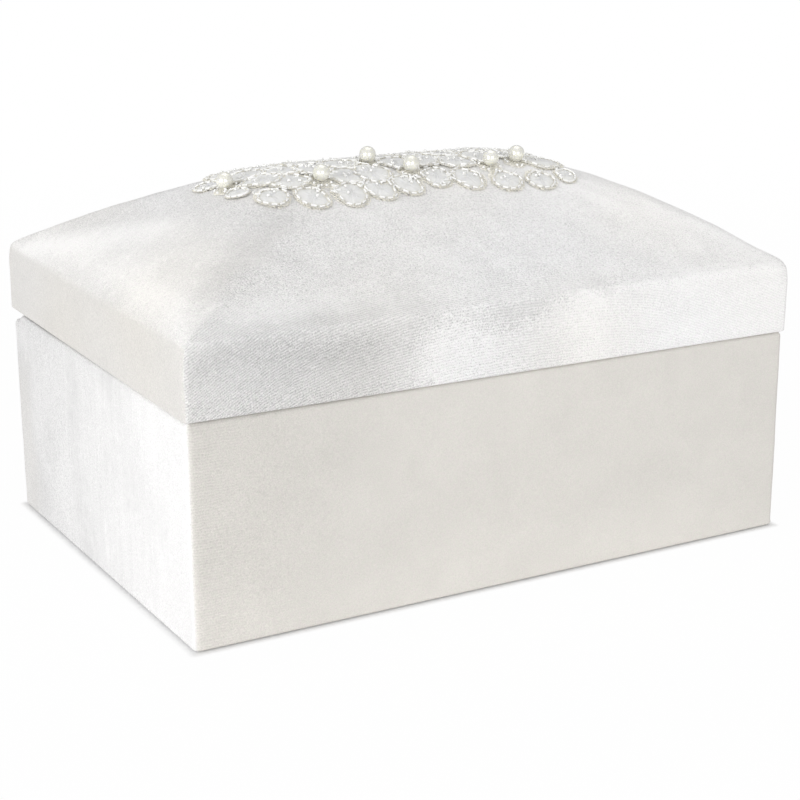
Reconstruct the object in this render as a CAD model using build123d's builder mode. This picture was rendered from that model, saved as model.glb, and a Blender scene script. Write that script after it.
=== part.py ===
from build123d import *
from math import asin, atan, atan2, cos, degrees, hypot, pi, sin, sqrt, tan
import os

os.makedirs("parts", exist_ok=True)

# A keepsake box covered in crushed velvet, with a padded lid on a cloth hinge.
# Length runs along X, the front faces -Y, Z is up, and the box stands on Z = 0.

# Driving sizes of the box, over the velvet.
base_length = 310
base_depth = 223
base_height = 98.5
rim_height = 32.8
dome_rise = 45.8

# How the lid sits when it is shut: flush at the front, lifted at the back by its hinge.
lid_overhang = 1.2
seam_gap = 0.4
rest_lift = 5.5

# Stock that the box is made from.
board = 2.5
card = 1.5
velvet = 0.8
satin = 0.4
cloth = 0.4
sheet_felt = 0.5

# Fits: glued faces, pads dropped in between linings, and cloth clear of cloth at the hinge.
glue_ease = 0.1
pad_ease = 0.4
hinge_clear = 0.3

# Velvet: corners, edges, and how far it is turned in and under.
corner_radius = 3
edge_radius = 1
turn_in_depth = 15
lid_turn_in_depth = 12
turn_under_width = 15
sheet_inset = 4
sheet_corner_radius = 5

# Linings and pads.
lining_drop = 1.5
lining_edge_radius = 0.9
pad_rise = 4
pad_edge_run = 24
pad_corner_radius = 4
pad_steps = 4

# Dome: slope of the long sides, run of the curved ends, and how the hips soften as they climb.
side_slope_gain_share = 1.1775
end_run = 115.7
hip_growth_share = 0.32
shoulder_radius = 5
crown_flat_drop = 0.9
hip_limit_share = 0.92
corner_flats = 5
dome_section_shares = (0, 0.045, 0.095, 0.24, 0.4, 0.56, 0.7, 0.81, 0.89, 0.95, 1)

# Hinge cloth: glued depth, distance from the box's ends, and its bend line below the lid's rim.
hinge_glue_depth = 18
hinge_end_inset = 9
hinge_drop = 0.8

# Lace applique on the crown: a net ground, padded petals round pearls, and hex-cut bugle beads.
lace_half_length = 93
net_thickness = 0.5
petal_thickness = 1.5
bugle_radius = 0.8
bugle_length = 4
bugle_edge_inset = 0.6
bugle_sides = 6
tip_sides = 12
root_sides = 6
pearl_sides = 12
pearl_bands = 6
pearl_start_share = 0.4

# Shares of the lace's half length: a petal's round tip, its root, a pearl, and the net round them.
petal_tip_share = 0.071
petal_root_share = 0.015
petal_root_reach_share = 0.066
pearl_share = 0.043
net_margin_share = 0.0215

# Places of the pearls, of the hearts with no pearl, and of the petals, as the same shares.
pearl_place_shares = (
    (-0.946, -0.059), (-0.532, -0.242), (-0.172, -0.065),
    (-0.016, -0.226), (0.452, -0.237), (0.624, -0.215),
)
plain_heart_shares = (
    (-0.656, 0.29), (-0.156, 0.398), (0.323, 0.355), (0.71, 0.409),
)
petal_place_shares = (
    (-0.849, -0.285), (-0.672, -0.355), (-0.468, -0.366), (-0.29, -0.355), (-0.124, -0.323),
    (0.14, -0.253), (0.323, -0.306), (0.516, -0.36), (0.688, -0.376), (0.86, -0.366),
    (-1, -0.22), (-0.796, -0.118), (-0.645, -0.183), (-0.495, -0.097), (-0.382, -0.21),
    (-0.22, -0.194), (-0.022, -0.086), (0.14, -0.091), (0.296, -0.14), (0.452, -0.102),
    (0.608, -0.065), (0.774, -0.215), (0.763, -0.054), (-0.323, -0.043), (-0.978, 0.102),
    (-0.806, 0.043), (-0.645, -0.022), (-0.484, 0.065), (-0.333, 0.118), (-0.177, 0.091),
    (-0.011, 0.075), (0.151, 0.075), (0.312, 0.032), (0.473, 0.059), (0.634, 0.097),
    (0.817, 0.108), (-0.667, 0.14), (-0.828, 0.204), (-0.505, 0.226), (-0.344, 0.28),
    (-0.183, 0.258), (-0.022, 0.237), (0.14, 0.237), (0.301, 0.194), (0.462, 0.215),
    (0.624, 0.269), (0.785, 0.269),
)

# Layers that follow from the stock.
wall_stack = 2 * velvet + board
lining_stack = card + satin
hinge_inset = wall_stack + glue_ease + cloth / 2
velvet_low = sheet_felt
board_low = velvet_low + velvet
floor_top = board_low + board
wall_top = base_height - velvet
lining_top = base_height - lining_drop

# Plane of the lid's rim: it meets the base at the front and rises to the back.
lid_tilt = atan(rest_lift / base_depth)
front_edge_y = -(base_depth / 2 + lid_overhang)
front_edge_z = base_height + seam_gap
pivot_y = base_depth / 2 - hinge_inset
hinge_span = (pivot_y - front_edge_y - hinge_drop * sin(lid_tilt)) / cos(lid_tilt)
pivot_z = front_edge_z + hinge_span * sin(lid_tilt) - hinge_drop * cos(lid_tilt)
lid_length = base_length + 2 * lid_overhang
lid_depth = hinge_span + hinge_inset
lid_centre_y = front_edge_y + lid_depth / 2 * cos(lid_tilt)
lid_centre_z = front_edge_z + lid_depth / 2 * sin(lid_tilt)
lid_plane = Plane(
    origin=(0, lid_centre_y, lid_centre_z),
    x_dir=(1, 0, 0),
    z_dir=(0, -sin(lid_tilt), cos(lid_tilt)),
)

# Dome profile of the long sides: rounded shoulder, straight slope, crown arc.
side_half = lid_depth / 2
side_slope = side_slope_gain_share * dome_rise / side_half
side_angle = atan(side_slope)
side_shoulder_z = -shoulder_radius * tan((pi / 2 - side_angle) / 2)
crown_radius = (side_slope * side_half - dome_rise) / (1 / cos(side_angle) - 1)
crown_centre_z = dome_rise - crown_radius

# Dome profile of the ends: rounded shoulder, then one arc that levels out at the crown.
end_half = lid_length / 2
end_radius = (end_run**2 + dome_rise**2) / (2 * dome_rise)
end_centre_z = dome_rise - end_radius
end_shoulder_z = end_centre_z + sqrt((end_radius - shoulder_radius) ** 2 - (end_run - shoulder_radius) ** 2)
end_shoulder_sine = (end_shoulder_z - end_centre_z) / (end_radius - shoulder_radius)
dome_foot_z = min(side_shoulder_z, end_shoulder_z)

# Boards of the lid.
lid_board_top = rim_height + dome_foot_z
lid_board_low = lid_board_top - board


def side_reach(z, inset):
    """Half depth of the dome at height z above the rim's edge line, inset from the velvet."""
    radius = shoulder_radius - inset
    slope_z = side_shoulder_z + radius * cos(side_angle)
    crown_z = crown_centre_z + (crown_radius - inset) * cos(side_angle)
    if z <= side_shoulder_z:
        return side_half - inset
    if z <= slope_z:
        return side_half - shoulder_radius + sqrt(radius**2 - (z - side_shoulder_z) ** 2)
    if z <= crown_z:
        return side_half - (z + inset / cos(side_angle)) / side_slope
    return sqrt((crown_radius - inset) ** 2 - (z - crown_centre_z) ** 2)


def end_reach(z, inset):
    """Half length of the dome at height z above the rim's edge line, inset from the velvet."""
    radius = shoulder_radius - inset
    arc_z = end_shoulder_z + radius * end_shoulder_sine
    if z <= end_shoulder_z:
        return end_half - inset
    if z <= arc_z:
        return end_half - shoulder_radius + sqrt(radius**2 - (z - end_shoulder_z) ** 2)
    return end_half - end_run + sqrt((end_radius - inset) ** 2 - (z - end_centre_z) ** 2)


def hip_radius(z, inset):
    """Plan radius of the hip at height z, limited by the section's own width."""
    radius = corner_radius - inset + hip_growth_share * max(z, 0)
    return min(radius, hip_limit_share * side_reach(z, inset))


def rim_form(inset, low, mode=Mode.ADD):
    """Straight-sided solid of the lid's rim from height low to the dome's foot."""
    with BuildSketch(lid_plane.offset(low)) as rim:
        RectangleRounded(lid_length - 2 * inset, lid_depth - 2 * inset, corner_radius - inset)
    extrude(rim.sketch, amount=rim_height + dome_foot_z - low, mode=mode)


def rounded_outline(half_length, half_depth, radius):
    """Points round a rectangle whose rounded corners are drawn as a few flats each."""
    points = []
    for quarter, (x_side, y_side) in enumerate(((1, 1), (-1, 1), (-1, -1), (1, -1))):
        for step in range(corner_flats + 1):
            angle = (quarter + step / corner_flats) * pi / 2
            x = x_side * (half_length - radius) + radius * cos(angle)
            y = y_side * (half_depth - radius) + radius * sin(angle)
            points.append((x, y))
    return points


def banded_form(plane, levels, mode=Mode.ADD):
    """Solid of flat bands between outlines with one count of points, given as (height, points)."""
    rings = [[plane.from_local_coords(Vector(x, y, z)) for x, y in points] for z, points in levels]
    faces = [Face(Wire.make_polygon(rings[0])), Face(Wire.make_polygon(rings[-1]))]
    for low, high in zip(rings, rings[1:]):
        for index in range(len(low)):
            corners = (low[index - 1], low[index], high[index], high[index - 1])
            faces.append(Face(Wire.make_polygon(corners)))
    add(Solid(Shell(faces)), mode=mode)


def dome_form(inset, mode=Mode.ADD):
    """Solid of the dome from its foot to its flattened crown, inset from the velvet's outside."""
    top = dome_rise - crown_flat_drop - inset
    levels = []
    for share in dome_section_shares:
        z = dome_foot_z + share * (top - dome_foot_z)
        outline = rounded_outline(end_reach(z, inset), side_reach(z, inset), hip_radius(z, inset))
        levels.append((rim_height + z, outline))
    banded_form(lid_plane, levels, mode=mode)


def save(part, name):
    """Label a finished piece and write it under its own name."""
    part.label = name
    export_step(part, f"parts/{name}.step")


def wall_ring_piece(name, plane, length, depth, low, high, side):
    """One of four butt-jointed boards inside the velvet; front and back run the full length."""
    outer = (length - 2 * velvet, depth - 2 * velvet)
    inner = (outer[0] - 2 * board, outer[1] - 2 * board)
    strip_place = {
        "front": (0, -(outer[1] - board) / 2),
        "back": (0, (outer[1] - board) / 2),
        "left": (-(outer[0] - board) / 2, 0),
        "right": ((outer[0] - board) / 2, 0),
    }[side]
    strip_size = (outer[0], board) if side in ("front", "back") else (board, inner[1])
    with BuildPart() as wall:
        with BuildSketch(plane.offset(low)):
            RectangleRounded(*outer, corner_radius - velvet)
            with Locations(strip_place):
                Rectangle(*strip_size, mode=Mode.INTERSECT)
        extrude(amount=high - low)
    save(wall.part, name)


def lining_panel(card_name, satin_name, plane, width, height):
    """A card covered in satin: the plane lies on its back, with Z into the box."""
    with BuildPart() as panel_card:
        with BuildSketch(plane):
            Rectangle(width - 2 * satin, height - 2 * satin)
        extrude(amount=card)
    save(panel_card.part, card_name)
    with BuildPart() as panel_satin:
        with BuildSketch(plane):
            Rectangle(width, height)
        extrude(amount=lining_stack)
        face_edges = panel_satin.faces().sort_by(Axis(plane.origin, plane.z_dir))[-1].edges()
        fillet(face_edges, lining_edge_radius)
        with BuildSketch(plane):
            Rectangle(width - 2 * satin, height - 2 * satin)
        extrude(amount=card, mode=Mode.SUBTRACT)
    save(panel_satin.part, satin_name)


def lining_set(prefix, plane, length, depth, low, high):
    """Four lining panels inside a wall ring; the back one stands in front of the hinge cloth."""
    side_inset = wall_stack + glue_ease
    back_inset = side_inset + cloth + glue_ease
    front_y = -depth / 2 + side_inset
    back_y = depth / 2 - back_inset
    end_x = length / 2 - side_inset
    height = high - low
    middle_z = (low + high) / 2
    across = back_y - front_y - 2 * lining_stack - 2 * glue_ease
    middle_y = (front_y + back_y) / 2
    along = 2 * end_x
    places = {
        "front": ((0, front_y, middle_z), (1, 0, 0), (0, 1, 0), along),
        "back": ((0, back_y, middle_z), (1, 0, 0), (0, -1, 0), along),
        "left": ((-end_x, middle_y, middle_z), (0, 1, 0), (1, 0, 0), across),
        "right": ((end_x, middle_y, middle_z), (0, 1, 0), (-1, 0, 0), across),
    }
    for side, (origin, x_dir, z_dir, width) in places.items():
        local = Plane(origin=origin, x_dir=x_dir, z_dir=z_dir)
        panel_plane = Plane(plane.location * local.location)
        card_name = f"{prefix}lining_card_{side}"
        lining_panel(card_name, f"{prefix}lining_satin_{side}", panel_plane, width, height)


def pillow(plane, width, depth, rise, edge_run, mode=Mode.ADD):
    """A low crowned pad: its edge climbs as a quarter of an ellipse to a level top."""
    levels = []
    for step in range(pad_steps + 1):
        angle = step / pad_steps * pi / 2
        shrink = edge_run * (1 - cos(angle))
        radius = pad_corner_radius + shrink / 2
        outline = rounded_outline(width / 2 - shrink, depth / 2 - shrink, radius)
        levels.append((rise * sin(angle), outline))
    banded_form(plane, levels, mode=mode)


def padded_panel(prefix, plane, width, depth):
    """Card, wadding and a satin skin over both; the plane lies on the card's glued side."""
    with BuildPart() as pad_card:
        with BuildSketch(plane):
            RectangleRounded(width - 2 * satin, depth - 2 * satin, pad_corner_radius)
        extrude(amount=card)
    save(pad_card.part, f"{prefix}_card")
    with BuildPart() as pad_wadding:
        pillow(plane.offset(card), width - 2 * satin, depth - 2 * satin, pad_rise, pad_edge_run)
    save(pad_wadding.part, f"{prefix}_wadding")
    with BuildPart() as pad_satin:
        with BuildSketch(plane):
            RectangleRounded(width, depth, pad_corner_radius)
        extrude(amount=card)
        pillow(plane.offset(card), width, depth, pad_rise + satin, pad_edge_run)
        with BuildSketch(plane):
            RectangleRounded(width - 2 * satin, depth - 2 * satin, pad_corner_radius)
        extrude(amount=card, mode=Mode.SUBTRACT)
        inner = (width - 2 * satin, depth - 2 * satin)
        pillow(plane.offset(card), *inner, pad_rise, pad_edge_run, mode=Mode.SUBTRACT)
    save(pad_satin.part, f"{prefix}_satin")


# Underside: felt sheet, then a filler card inside the turned-under velvet, then the board.
with BuildPart() as bottom_sheet:
    with BuildSketch(Plane.XY):
        sheet_size = (base_length - 2 * sheet_inset, base_depth - 2 * sheet_inset)
        RectangleRounded(*sheet_size, sheet_corner_radius)
    extrude(amount=sheet_felt)
save(bottom_sheet.part, "bottom_sheet")

filler_inset = turn_under_width + pad_ease
with BuildPart() as bottom_filler_card:
    with BuildSketch(Plane.XY.offset(velvet_low)):
        Rectangle(base_length - 2 * filler_inset, base_depth - 2 * filler_inset)
    extrude(amount=velvet)
save(bottom_filler_card.part, "bottom_filler_card")

with BuildPart() as bottom_board:
    with BuildSketch(Plane.XY.offset(board_low)):
        RectangleRounded(base_length - 2 * velvet, base_depth - 2 * velvet, corner_radius - velvet)
    extrude(amount=board)
save(bottom_board.part, "bottom_board")

for side in ("front", "back", "left", "right"):
    name = f"{side}_wall_board"
    wall_ring_piece(name, Plane.XY, base_length, base_depth, floor_top, wall_top, side)

# Velvet of the base: outside walls, over the top edge and down inside, and under the bottom.
with BuildPart() as base_velvet_wrap:
    with BuildSketch(Plane.XY.offset(velvet_low)):
        RectangleRounded(base_length, base_depth, corner_radius)
    extrude(amount=base_height - velvet_low)
    rims = base_velvet_wrap.faces().filter_by(Axis.Z).edges()
    fillet(rims, edge_radius)
    with BuildSketch(Plane.XY.offset(velvet_low)):
        margin = 2 * turn_under_width
        Rectangle(base_length - margin, base_depth - margin)
    extrude(amount=velvet, mode=Mode.SUBTRACT)
    with BuildSketch(Plane.XY.offset(board_low)):
        RectangleRounded(base_length - 2 * velvet, base_depth - 2 * velvet, corner_radius - velvet)
    extrude(amount=wall_top - board_low, mode=Mode.SUBTRACT)
    with BuildSketch(Plane.XY.offset(wall_top)):
        Rectangle(base_length - 2 * wall_stack, base_depth - 2 * wall_stack)
    extrude(amount=velvet, mode=Mode.SUBTRACT)
    with BuildSketch(Plane.XY.offset(base_height - turn_in_depth)):
        turn_in = 2 * (wall_stack - velvet)
        Rectangle(base_length - turn_in, base_depth - turn_in)
        Rectangle(base_length - 2 * wall_stack, base_depth - 2 * wall_stack, mode=Mode.SUBTRACT)
    extrude(amount=turn_in_depth - velvet)
save(base_velvet_wrap.part, "base_velvet_wrap")

lining_set("", Plane.XY, base_length, base_depth, floor_top, lining_top)

# Padded floor between the linings, and the same pad under the lid's top board.
lining_inset = wall_stack + glue_ease + lining_stack
pad_length_inset = lining_inset + pad_ease
pad_back_shift = (cloth + glue_ease) / 2
pad_depth_inset = lining_inset + pad_ease + pad_back_shift
floor_pad_plane = Plane(origin=(0, -pad_back_shift, floor_top))
floor_pad_size = (base_length - 2 * pad_length_inset, base_depth - 2 * pad_depth_inset)
padded_panel("floor_pad", floor_pad_plane, *floor_pad_size)

lid_pad_local = Plane(origin=(0, -pad_back_shift, lid_board_low), x_dir=(1, 0, 0), z_dir=(0, 0, -1))
lid_pad_plane = Plane(lid_plane.location * lid_pad_local.location)
lid_pad_size = (lid_length - 2 * pad_length_inset, lid_depth - 2 * pad_depth_inset)
padded_panel("lid_pad", lid_pad_plane, *lid_pad_size)

# Cloth hinge: the lower half ends in a bead on the bend line, the upper half starts just above.
hinge_half_length = base_length / 2 - hinge_end_inset
with BuildPart() as hinge_cloth_lower:
    strip_low = base_height - hinge_glue_depth
    with BuildSketch(Plane.YZ):
        with Locations((pivot_y, (strip_low + pivot_z) / 2)):
            Rectangle(cloth, pivot_z - strip_low)
        with Locations((pivot_y, pivot_z)):
            Circle(cloth / 2)
    extrude(amount=hinge_half_length, both=True)
save(hinge_cloth_lower.part, "hinge_cloth_lower")

with BuildPart() as hinge_cloth_upper:
    strip_start = cloth / 2 + hinge_clear - hinge_drop
    with BuildSketch(lid_plane.offset(strip_start)):
        with Locations((0, lid_depth / 2 - hinge_inset)):
            Rectangle(2 * hinge_half_length, cloth)
    extrude(amount=hinge_glue_depth - strip_start)
save(hinge_cloth_upper.part, "hinge_cloth_upper")

# Lid: rim boards under a top board, shaped wadding, and one velvet skin over all.
for side in ("front", "back", "left", "right"):
    name = f"lid_{side}_rim_board"
    wall_ring_piece(name, lid_plane, lid_length, lid_depth, velvet, lid_board_low, side)

with BuildPart() as lid_top_board:
    with BuildSketch(lid_plane.offset(lid_board_low)):
        RectangleRounded(lid_length - 2 * velvet, lid_depth - 2 * velvet, corner_radius - velvet)
    extrude(amount=board)
save(lid_top_board.part, "lid_top_board")

lining_set("lid_", lid_plane, lid_length, lid_depth, lining_drop, lid_board_low)

with BuildPart() as lid_dome_wadding:
    dome_form(velvet + glue_ease)
save(lid_dome_wadding.part, "lid_dome_wadding")

with BuildPart() as lid_velvet_cover:
    rim_form(0, 0)
    rim_face = lid_velvet_cover.faces().sort_by(Axis(lid_plane.origin, lid_plane.z_dir))[0]
    fillet(rim_face.edges(), edge_radius)
    dome_form(0)
    rim_form(velvet, velvet, mode=Mode.SUBTRACT)
    dome_form(velvet, mode=Mode.SUBTRACT)
    with BuildSketch(lid_plane):
        Rectangle(lid_length - 2 * wall_stack, lid_depth - 2 * wall_stack)
    extrude(amount=velvet, mode=Mode.SUBTRACT)
    with BuildSketch(lid_plane.offset(velvet)):
        turn_in = 2 * (wall_stack - velvet)
        Rectangle(lid_length - turn_in, lid_depth - turn_in)
        Rectangle(lid_length - 2 * wall_stack, lid_depth - 2 * wall_stack, mode=Mode.SUBTRACT)
    extrude(amount=lid_turn_in_depth - velvet)
save(lid_velvet_cover.part, "lid_velvet_cover")


def dome_height(x, y, lift):
    """Height above the rim's edge line of the surface that lies lift over the velvet."""
    low, high = 0, dome_rise - crown_flat_drop + lift
    for _ in range(30):
        z = (low + high) / 2
        radius = hip_radius(z, -lift)
        over_x = abs(x) - (end_reach(z, -lift) - radius)
        over_y = abs(y) - (side_reach(z, -lift) - radius)
        inside = hypot(max(over_x, 0), max(over_y, 0)) <= radius
        low, high = (z, high) if inside else (low, z)
    return (low + high) / 2


def dome_seat(x, y, lift, heading=0):
    """Location on the dome in the row's frame: Z off the surface, X along the heading."""
    probe = bugle_radius
    fall_x = (dome_height(x + probe, y, lift) - dome_height(x - probe, y, lift)) / (2 * probe)
    fall_y = (dome_height(x, y + probe, lift) - dome_height(x, y - probe, lift)) / (2 * probe)
    along = (cos(heading), sin(heading), fall_x * cos(heading) + fall_y * sin(heading))
    place = (x, y, rim_height + dome_height(x, y, lift))
    seat = Plane(origin=place, x_dir=along, z_dir=(-fall_x, -fall_y, 1))
    return lid_plane.location * seat.location


def lace_places(place_shares):
    """Places in the lid's plan from shares of the lace's half length."""
    return [(x_share * lace_half_length, y_share * lace_half_length) for x_share, y_share in place_shares]


pearl_radius = pearl_share * lace_half_length
pearl_places = lace_places(pearl_place_shares)
heart_places = pearl_places + lace_places(plain_heart_shares)
petal_places = lace_places(petal_place_shares)


def petal_heading(x, y):
    """A petal points away from the nearest heart."""
    heart_x, heart_y = min(heart_places, key=lambda heart: hypot(x - heart[0], y - heart[1]))
    return atan2(y - heart_y, x - heart_x)


# Net ground: one scalloped sheet that follows the dome under all the petals.
net_top = glue_ease + net_thickness
petal_tip_radius = petal_tip_share * lace_half_length
with BuildPart() as applique_net:
    with BuildSketch(mode=Mode.PRIVATE) as scallops:
        with Locations(*petal_places, *pearl_places):
            RegularPolygon(petal_tip_radius + net_margin_share * lace_half_length, tip_sides)
    with BuildSketch(lid_plane.offset(rim_height)):
        for outline in scallops.sketch.faces():
            add(Face(outline.outer_wire()))
    extrude(amount=dome_rise + net_top)
    dome_form(-net_top, mode=Mode.INTERSECT)
    dome_form(-glue_ease, mode=Mode.SUBTRACT)
save(applique_net.part, "applique_net")

# Petals: embroidered pads laid on the net, each with its root towards a heart.
petal_lift = net_top + glue_ease
with BuildPart() as petal:
    with BuildSketch() as teardrop:
        RegularPolygon(petal_tip_radius, tip_sides)
        with Locations((-petal_root_reach_share * lace_half_length, 0)):
            RegularPolygon(petal_root_share * lace_half_length, root_sides)
        make_hull()
    extrude(amount=petal_thickness)
petal_seats = [dome_seat(x, y, petal_lift, petal_heading(x, y)) for x, y in petal_places]
applique_petals = Compound([petal.part.solid().moved(seat) for seat in petal_seats])
save(applique_petals, "applique_petals")

# Pearls stand on the net, in clear spots between the petals.
pearl_lift = petal_lift + pearl_radius
pearl_levels = []
for band in range(pearl_bands + 1):
    angle = (band + pearl_start_share) * pi / (pearl_bands + 2 * pearl_start_share)
    reach = pearl_radius * sin(angle)
    turns = [index * 2 * pi / pearl_sides for index in range(pearl_sides)]
    pearl_levels.append((-pearl_radius * cos(angle), [(reach * cos(t), reach * sin(t)) for t in turns]))
with BuildPart() as pearl:
    banded_form(Plane.XY, pearl_levels)
pearl_seats = [dome_seat(x, y, pearl_lift) for x, y in pearl_places]
applique_pearls = Compound([pearl.part.solid().moved(seat) for seat in pearl_seats])
save(applique_pearls, "applique_pearls")

# Bugle beads: two lie end to end along the edge of each petal's tip.
bead_height = petal_thickness + glue_ease + bugle_radius
bead_ring = petal_tip_radius - bugle_edge_inset
bead_turn = asin((bugle_length + bugle_radius) / 2 / bead_ring)
bead_steps = [
    Pos(
        bead_ring * cos(side * bead_turn),
        bead_ring * sin(side * bead_turn),
        bead_height,
    )
    * Rot(0, 0, degrees(side * bead_turn))
    for side in (-1, 1)
]
bead_seats = [seat * step for seat in petal_seats for step in bead_steps]
with BuildPart() as bugle:
    with BuildSketch(Plane.XZ):
        RegularPolygon(bugle_radius, bugle_sides, major_radius=False)
    extrude(amount=bugle_length / 2, both=True)
applique_bugle_beads = Compound([bugle.part.solid().moved(seat) for seat in bead_seats])
save(applique_bugle_beads, "applique_bugle_beads")
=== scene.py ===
import math

import bmesh
import bpy
import numpy as np
from mathutils import Matrix, Vector


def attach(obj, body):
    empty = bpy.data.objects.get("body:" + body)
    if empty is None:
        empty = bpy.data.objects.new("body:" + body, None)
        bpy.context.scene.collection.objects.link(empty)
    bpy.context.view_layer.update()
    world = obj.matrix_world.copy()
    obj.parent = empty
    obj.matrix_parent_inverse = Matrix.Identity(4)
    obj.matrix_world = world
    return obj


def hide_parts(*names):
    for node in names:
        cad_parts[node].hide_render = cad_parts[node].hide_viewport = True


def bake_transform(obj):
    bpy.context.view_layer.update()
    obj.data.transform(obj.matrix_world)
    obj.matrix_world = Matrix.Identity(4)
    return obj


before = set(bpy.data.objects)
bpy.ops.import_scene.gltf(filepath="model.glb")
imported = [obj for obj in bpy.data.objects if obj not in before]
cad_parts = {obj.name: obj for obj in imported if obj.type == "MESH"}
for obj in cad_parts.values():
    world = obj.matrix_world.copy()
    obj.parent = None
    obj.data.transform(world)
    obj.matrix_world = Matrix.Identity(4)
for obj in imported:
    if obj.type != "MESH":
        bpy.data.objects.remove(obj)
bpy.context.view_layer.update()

# Studio: a white sweep of paper under the box, one broad soft light from the left, and weak fill.
# The camera stands off the box's front left corner, above the lid, and looks down 15.5 degrees.
camera_place = np.array([-0.4052, -0.7262, 0.2914])
camera_aim = np.array([0.47448, 0.83846, -0.26806])
camera_roll_rise = -0.00686
focal_pixels = 1729.6
photo_pixels = 800
sensor_mm = 36
sight_limit = 20


def unit(vectors):
    """Vectors along the last axis, each divided by its own length."""
    return vectors / np.linalg.norm(vectors, axis=-1, keepdims=True)


camera_aim = unit(camera_aim)
level_right = unit(np.cross(camera_aim, [0, 0, 1]))
level_up = np.cross(level_right, camera_aim)
roll = math.asin(camera_roll_rise / level_up[2])
camera_right = math.cos(roll) * level_right + math.sin(roll) * level_up
camera_up = np.cross(camera_right, camera_aim)
camera_data = bpy.data.cameras.new("photo_camera")
camera_data.sensor_width = sensor_mm
camera_data.lens = focal_pixels * sensor_mm / photo_pixels
camera_data.clip_end = sight_limit
camera = bpy.data.objects.new("photo_camera", camera_data)
turn = Matrix(np.column_stack([camera_right, camera_up, -camera_aim]).tolist()).to_4x4()
camera.matrix_world = Matrix.Translation(Vector(camera_place.tolist())) @ turn
bpy.context.scene.collection.objects.link(camera)
bpy.context.scene.camera = camera
bpy.context.scene.view_settings.view_transform = "Standard"


def shader_node(tree, kind, inputs=(), **settings):
    """One shader node: settings by name, and inputs as pairs of socket and value or link."""
    made = tree.nodes.new(kind)
    for key, value in settings.items():
        setattr(made, key, value)
    for socket, value in inputs:
        if isinstance(value, bpy.types.NodeSocket):
            tree.links.new(value, made.inputs[socket])
        else:
            made.inputs[socket].default_value = value
    return made


def math_node(tree, operation, first, second=0.5, third=0.5):
    """The output of one Math node."""
    inputs = [(0, first), (1, second), (2, third)]
    return shader_node(tree, "ShaderNodeMath", inputs, operation=operation).outputs[0]


def map_range(tree, value, low, high, at_low=0, at_high=1, **settings):
    """A value carried from the range low to high over to the range at_low to at_high."""
    inputs = [(0, value), (1, low), (2, high), (3, at_low), (4, at_high)]
    return shader_node(tree, "ShaderNodeMapRange", inputs, **settings).outputs[0]


def soft_light(name, place, size, power):
    """A square area lamp at a place, turned towards the middle of the box."""
    data = bpy.data.lights.new(name, "AREA")
    data.size = size
    data.energy = power
    lamp = bpy.data.objects.new(name, data)
    lamp.location = place
    lamp.rotation_mode = "QUATERNION"
    lamp.rotation_quaternion = (box_middle - Vector(place)).to_track_quat("-Z", "Y")
    bpy.context.scene.collection.objects.link(lamp)


box_middle = Vector((0, 0, 0.1))
soft_light("left_softbox", (-2.05, -0.92, 0.5), 1.2, 23.5)
soft_light("front_softbox", (-0.28, -2.2, 0.6), 1.1, 9)
soft_light("top_softbox", (0.3, 0.2, 2.0), 1.6, 6)

white = (1, 1, 1, 1)
room_level = 0.62
world = bpy.data.worlds.new("white_room")
bpy.context.scene.world = world
world.use_nodes = True
sky = world.node_tree
room = shader_node(sky, "ShaderNodeBackground", [("Color", white), ("Strength", room_level)])
paper = shader_node(sky, "ShaderNodeBackground", [("Color", white), ("Strength", 1)])
sight = shader_node(sky, "ShaderNodeLightPath").outputs
seen = math_node(sky, "MAXIMUM", sight["Is Camera Ray"], sight["Is Transmission Ray"])
choice = [(0, seen), (1, room.outputs[0]), (2, paper.outputs[0])]
choice = shader_node(sky, "ShaderNodeMixShader", choice)
sky.links.new(choice.outputs[0], sky.nodes["World Output"].inputs["Surface"])

# The floor shows as white paper where nothing is near, and keeps the box's shadow close to it.
floor_half = 6
floor_grey = (0.9, 0.9, 0.9, 1)
footprint_half = (0.155, 0.1115, 0)
contact_shadow = (0.0004, 0.0032, 0.1, 0.97)
wide_shadow = (0.2, 1.2, 0, 0.03)
floor_mesh = bpy.data.meshes.new("paper_floor")
floor_corners = [(x * floor_half, y * floor_half, 0) for x, y in ((-1, -1), (1, -1), (1, 1), (-1, 1))]
floor_mesh.from_pydata(floor_corners, [], [(0, 1, 2, 3)])
floor = bpy.data.objects.new("paper_floor", floor_mesh)
bpy.context.scene.collection.objects.link(floor)
floor_paper = bpy.data.materials.new("floor_paper")
floor_paper.use_nodes = True
tree = floor_paper.node_tree
matt = shader_node(tree, "ShaderNodeBsdfDiffuse", [("Color", floor_grey)])
glow = shader_node(tree, "ShaderNodeEmission", [("Color", white), ("Strength", 1)])
sight = shader_node(tree, "ShaderNodeLightPath").outputs
seen = math_node(tree, "MAXIMUM", sight["Is Camera Ray"], sight["Is Glossy Ray"])
seen = math_node(tree, "MAXIMUM", seen, sight["Is Transmission Ray"])
spot = shader_node(tree, "ShaderNodeTexCoord").outputs["Object"]
nought = (0, 0, 0)
for step, other in (("ABSOLUTE", nought), ("SUBTRACT", footprint_half), ("MAXIMUM", nought)):
    spot = shader_node(tree, "ShaderNodeVectorMath", [(0, spot), (1, other)], operation=step).outputs[0]
away = shader_node(tree, "ShaderNodeVectorMath", [(0, spot)], operation="LENGTH").outputs["Value"]
near_share, far_share = (map_range(tree, away, *shadow) for shadow in (contact_shadow, wide_shadow))
share = math_node(tree, "MULTIPLY", seen, math_node(tree, "ADD", near_share, far_share))
floor_look = [(0, share), (1, matt.outputs[0]), (2, glow.outputs[0])]
floor_look = shader_node(tree, "ShaderNodeMixShader", floor_look)
tree.links.new(floor_look.outputs[0], tree.nodes["Material Output"].inputs["Surface"])
floor_mesh.materials.append(floor_paper)


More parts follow.
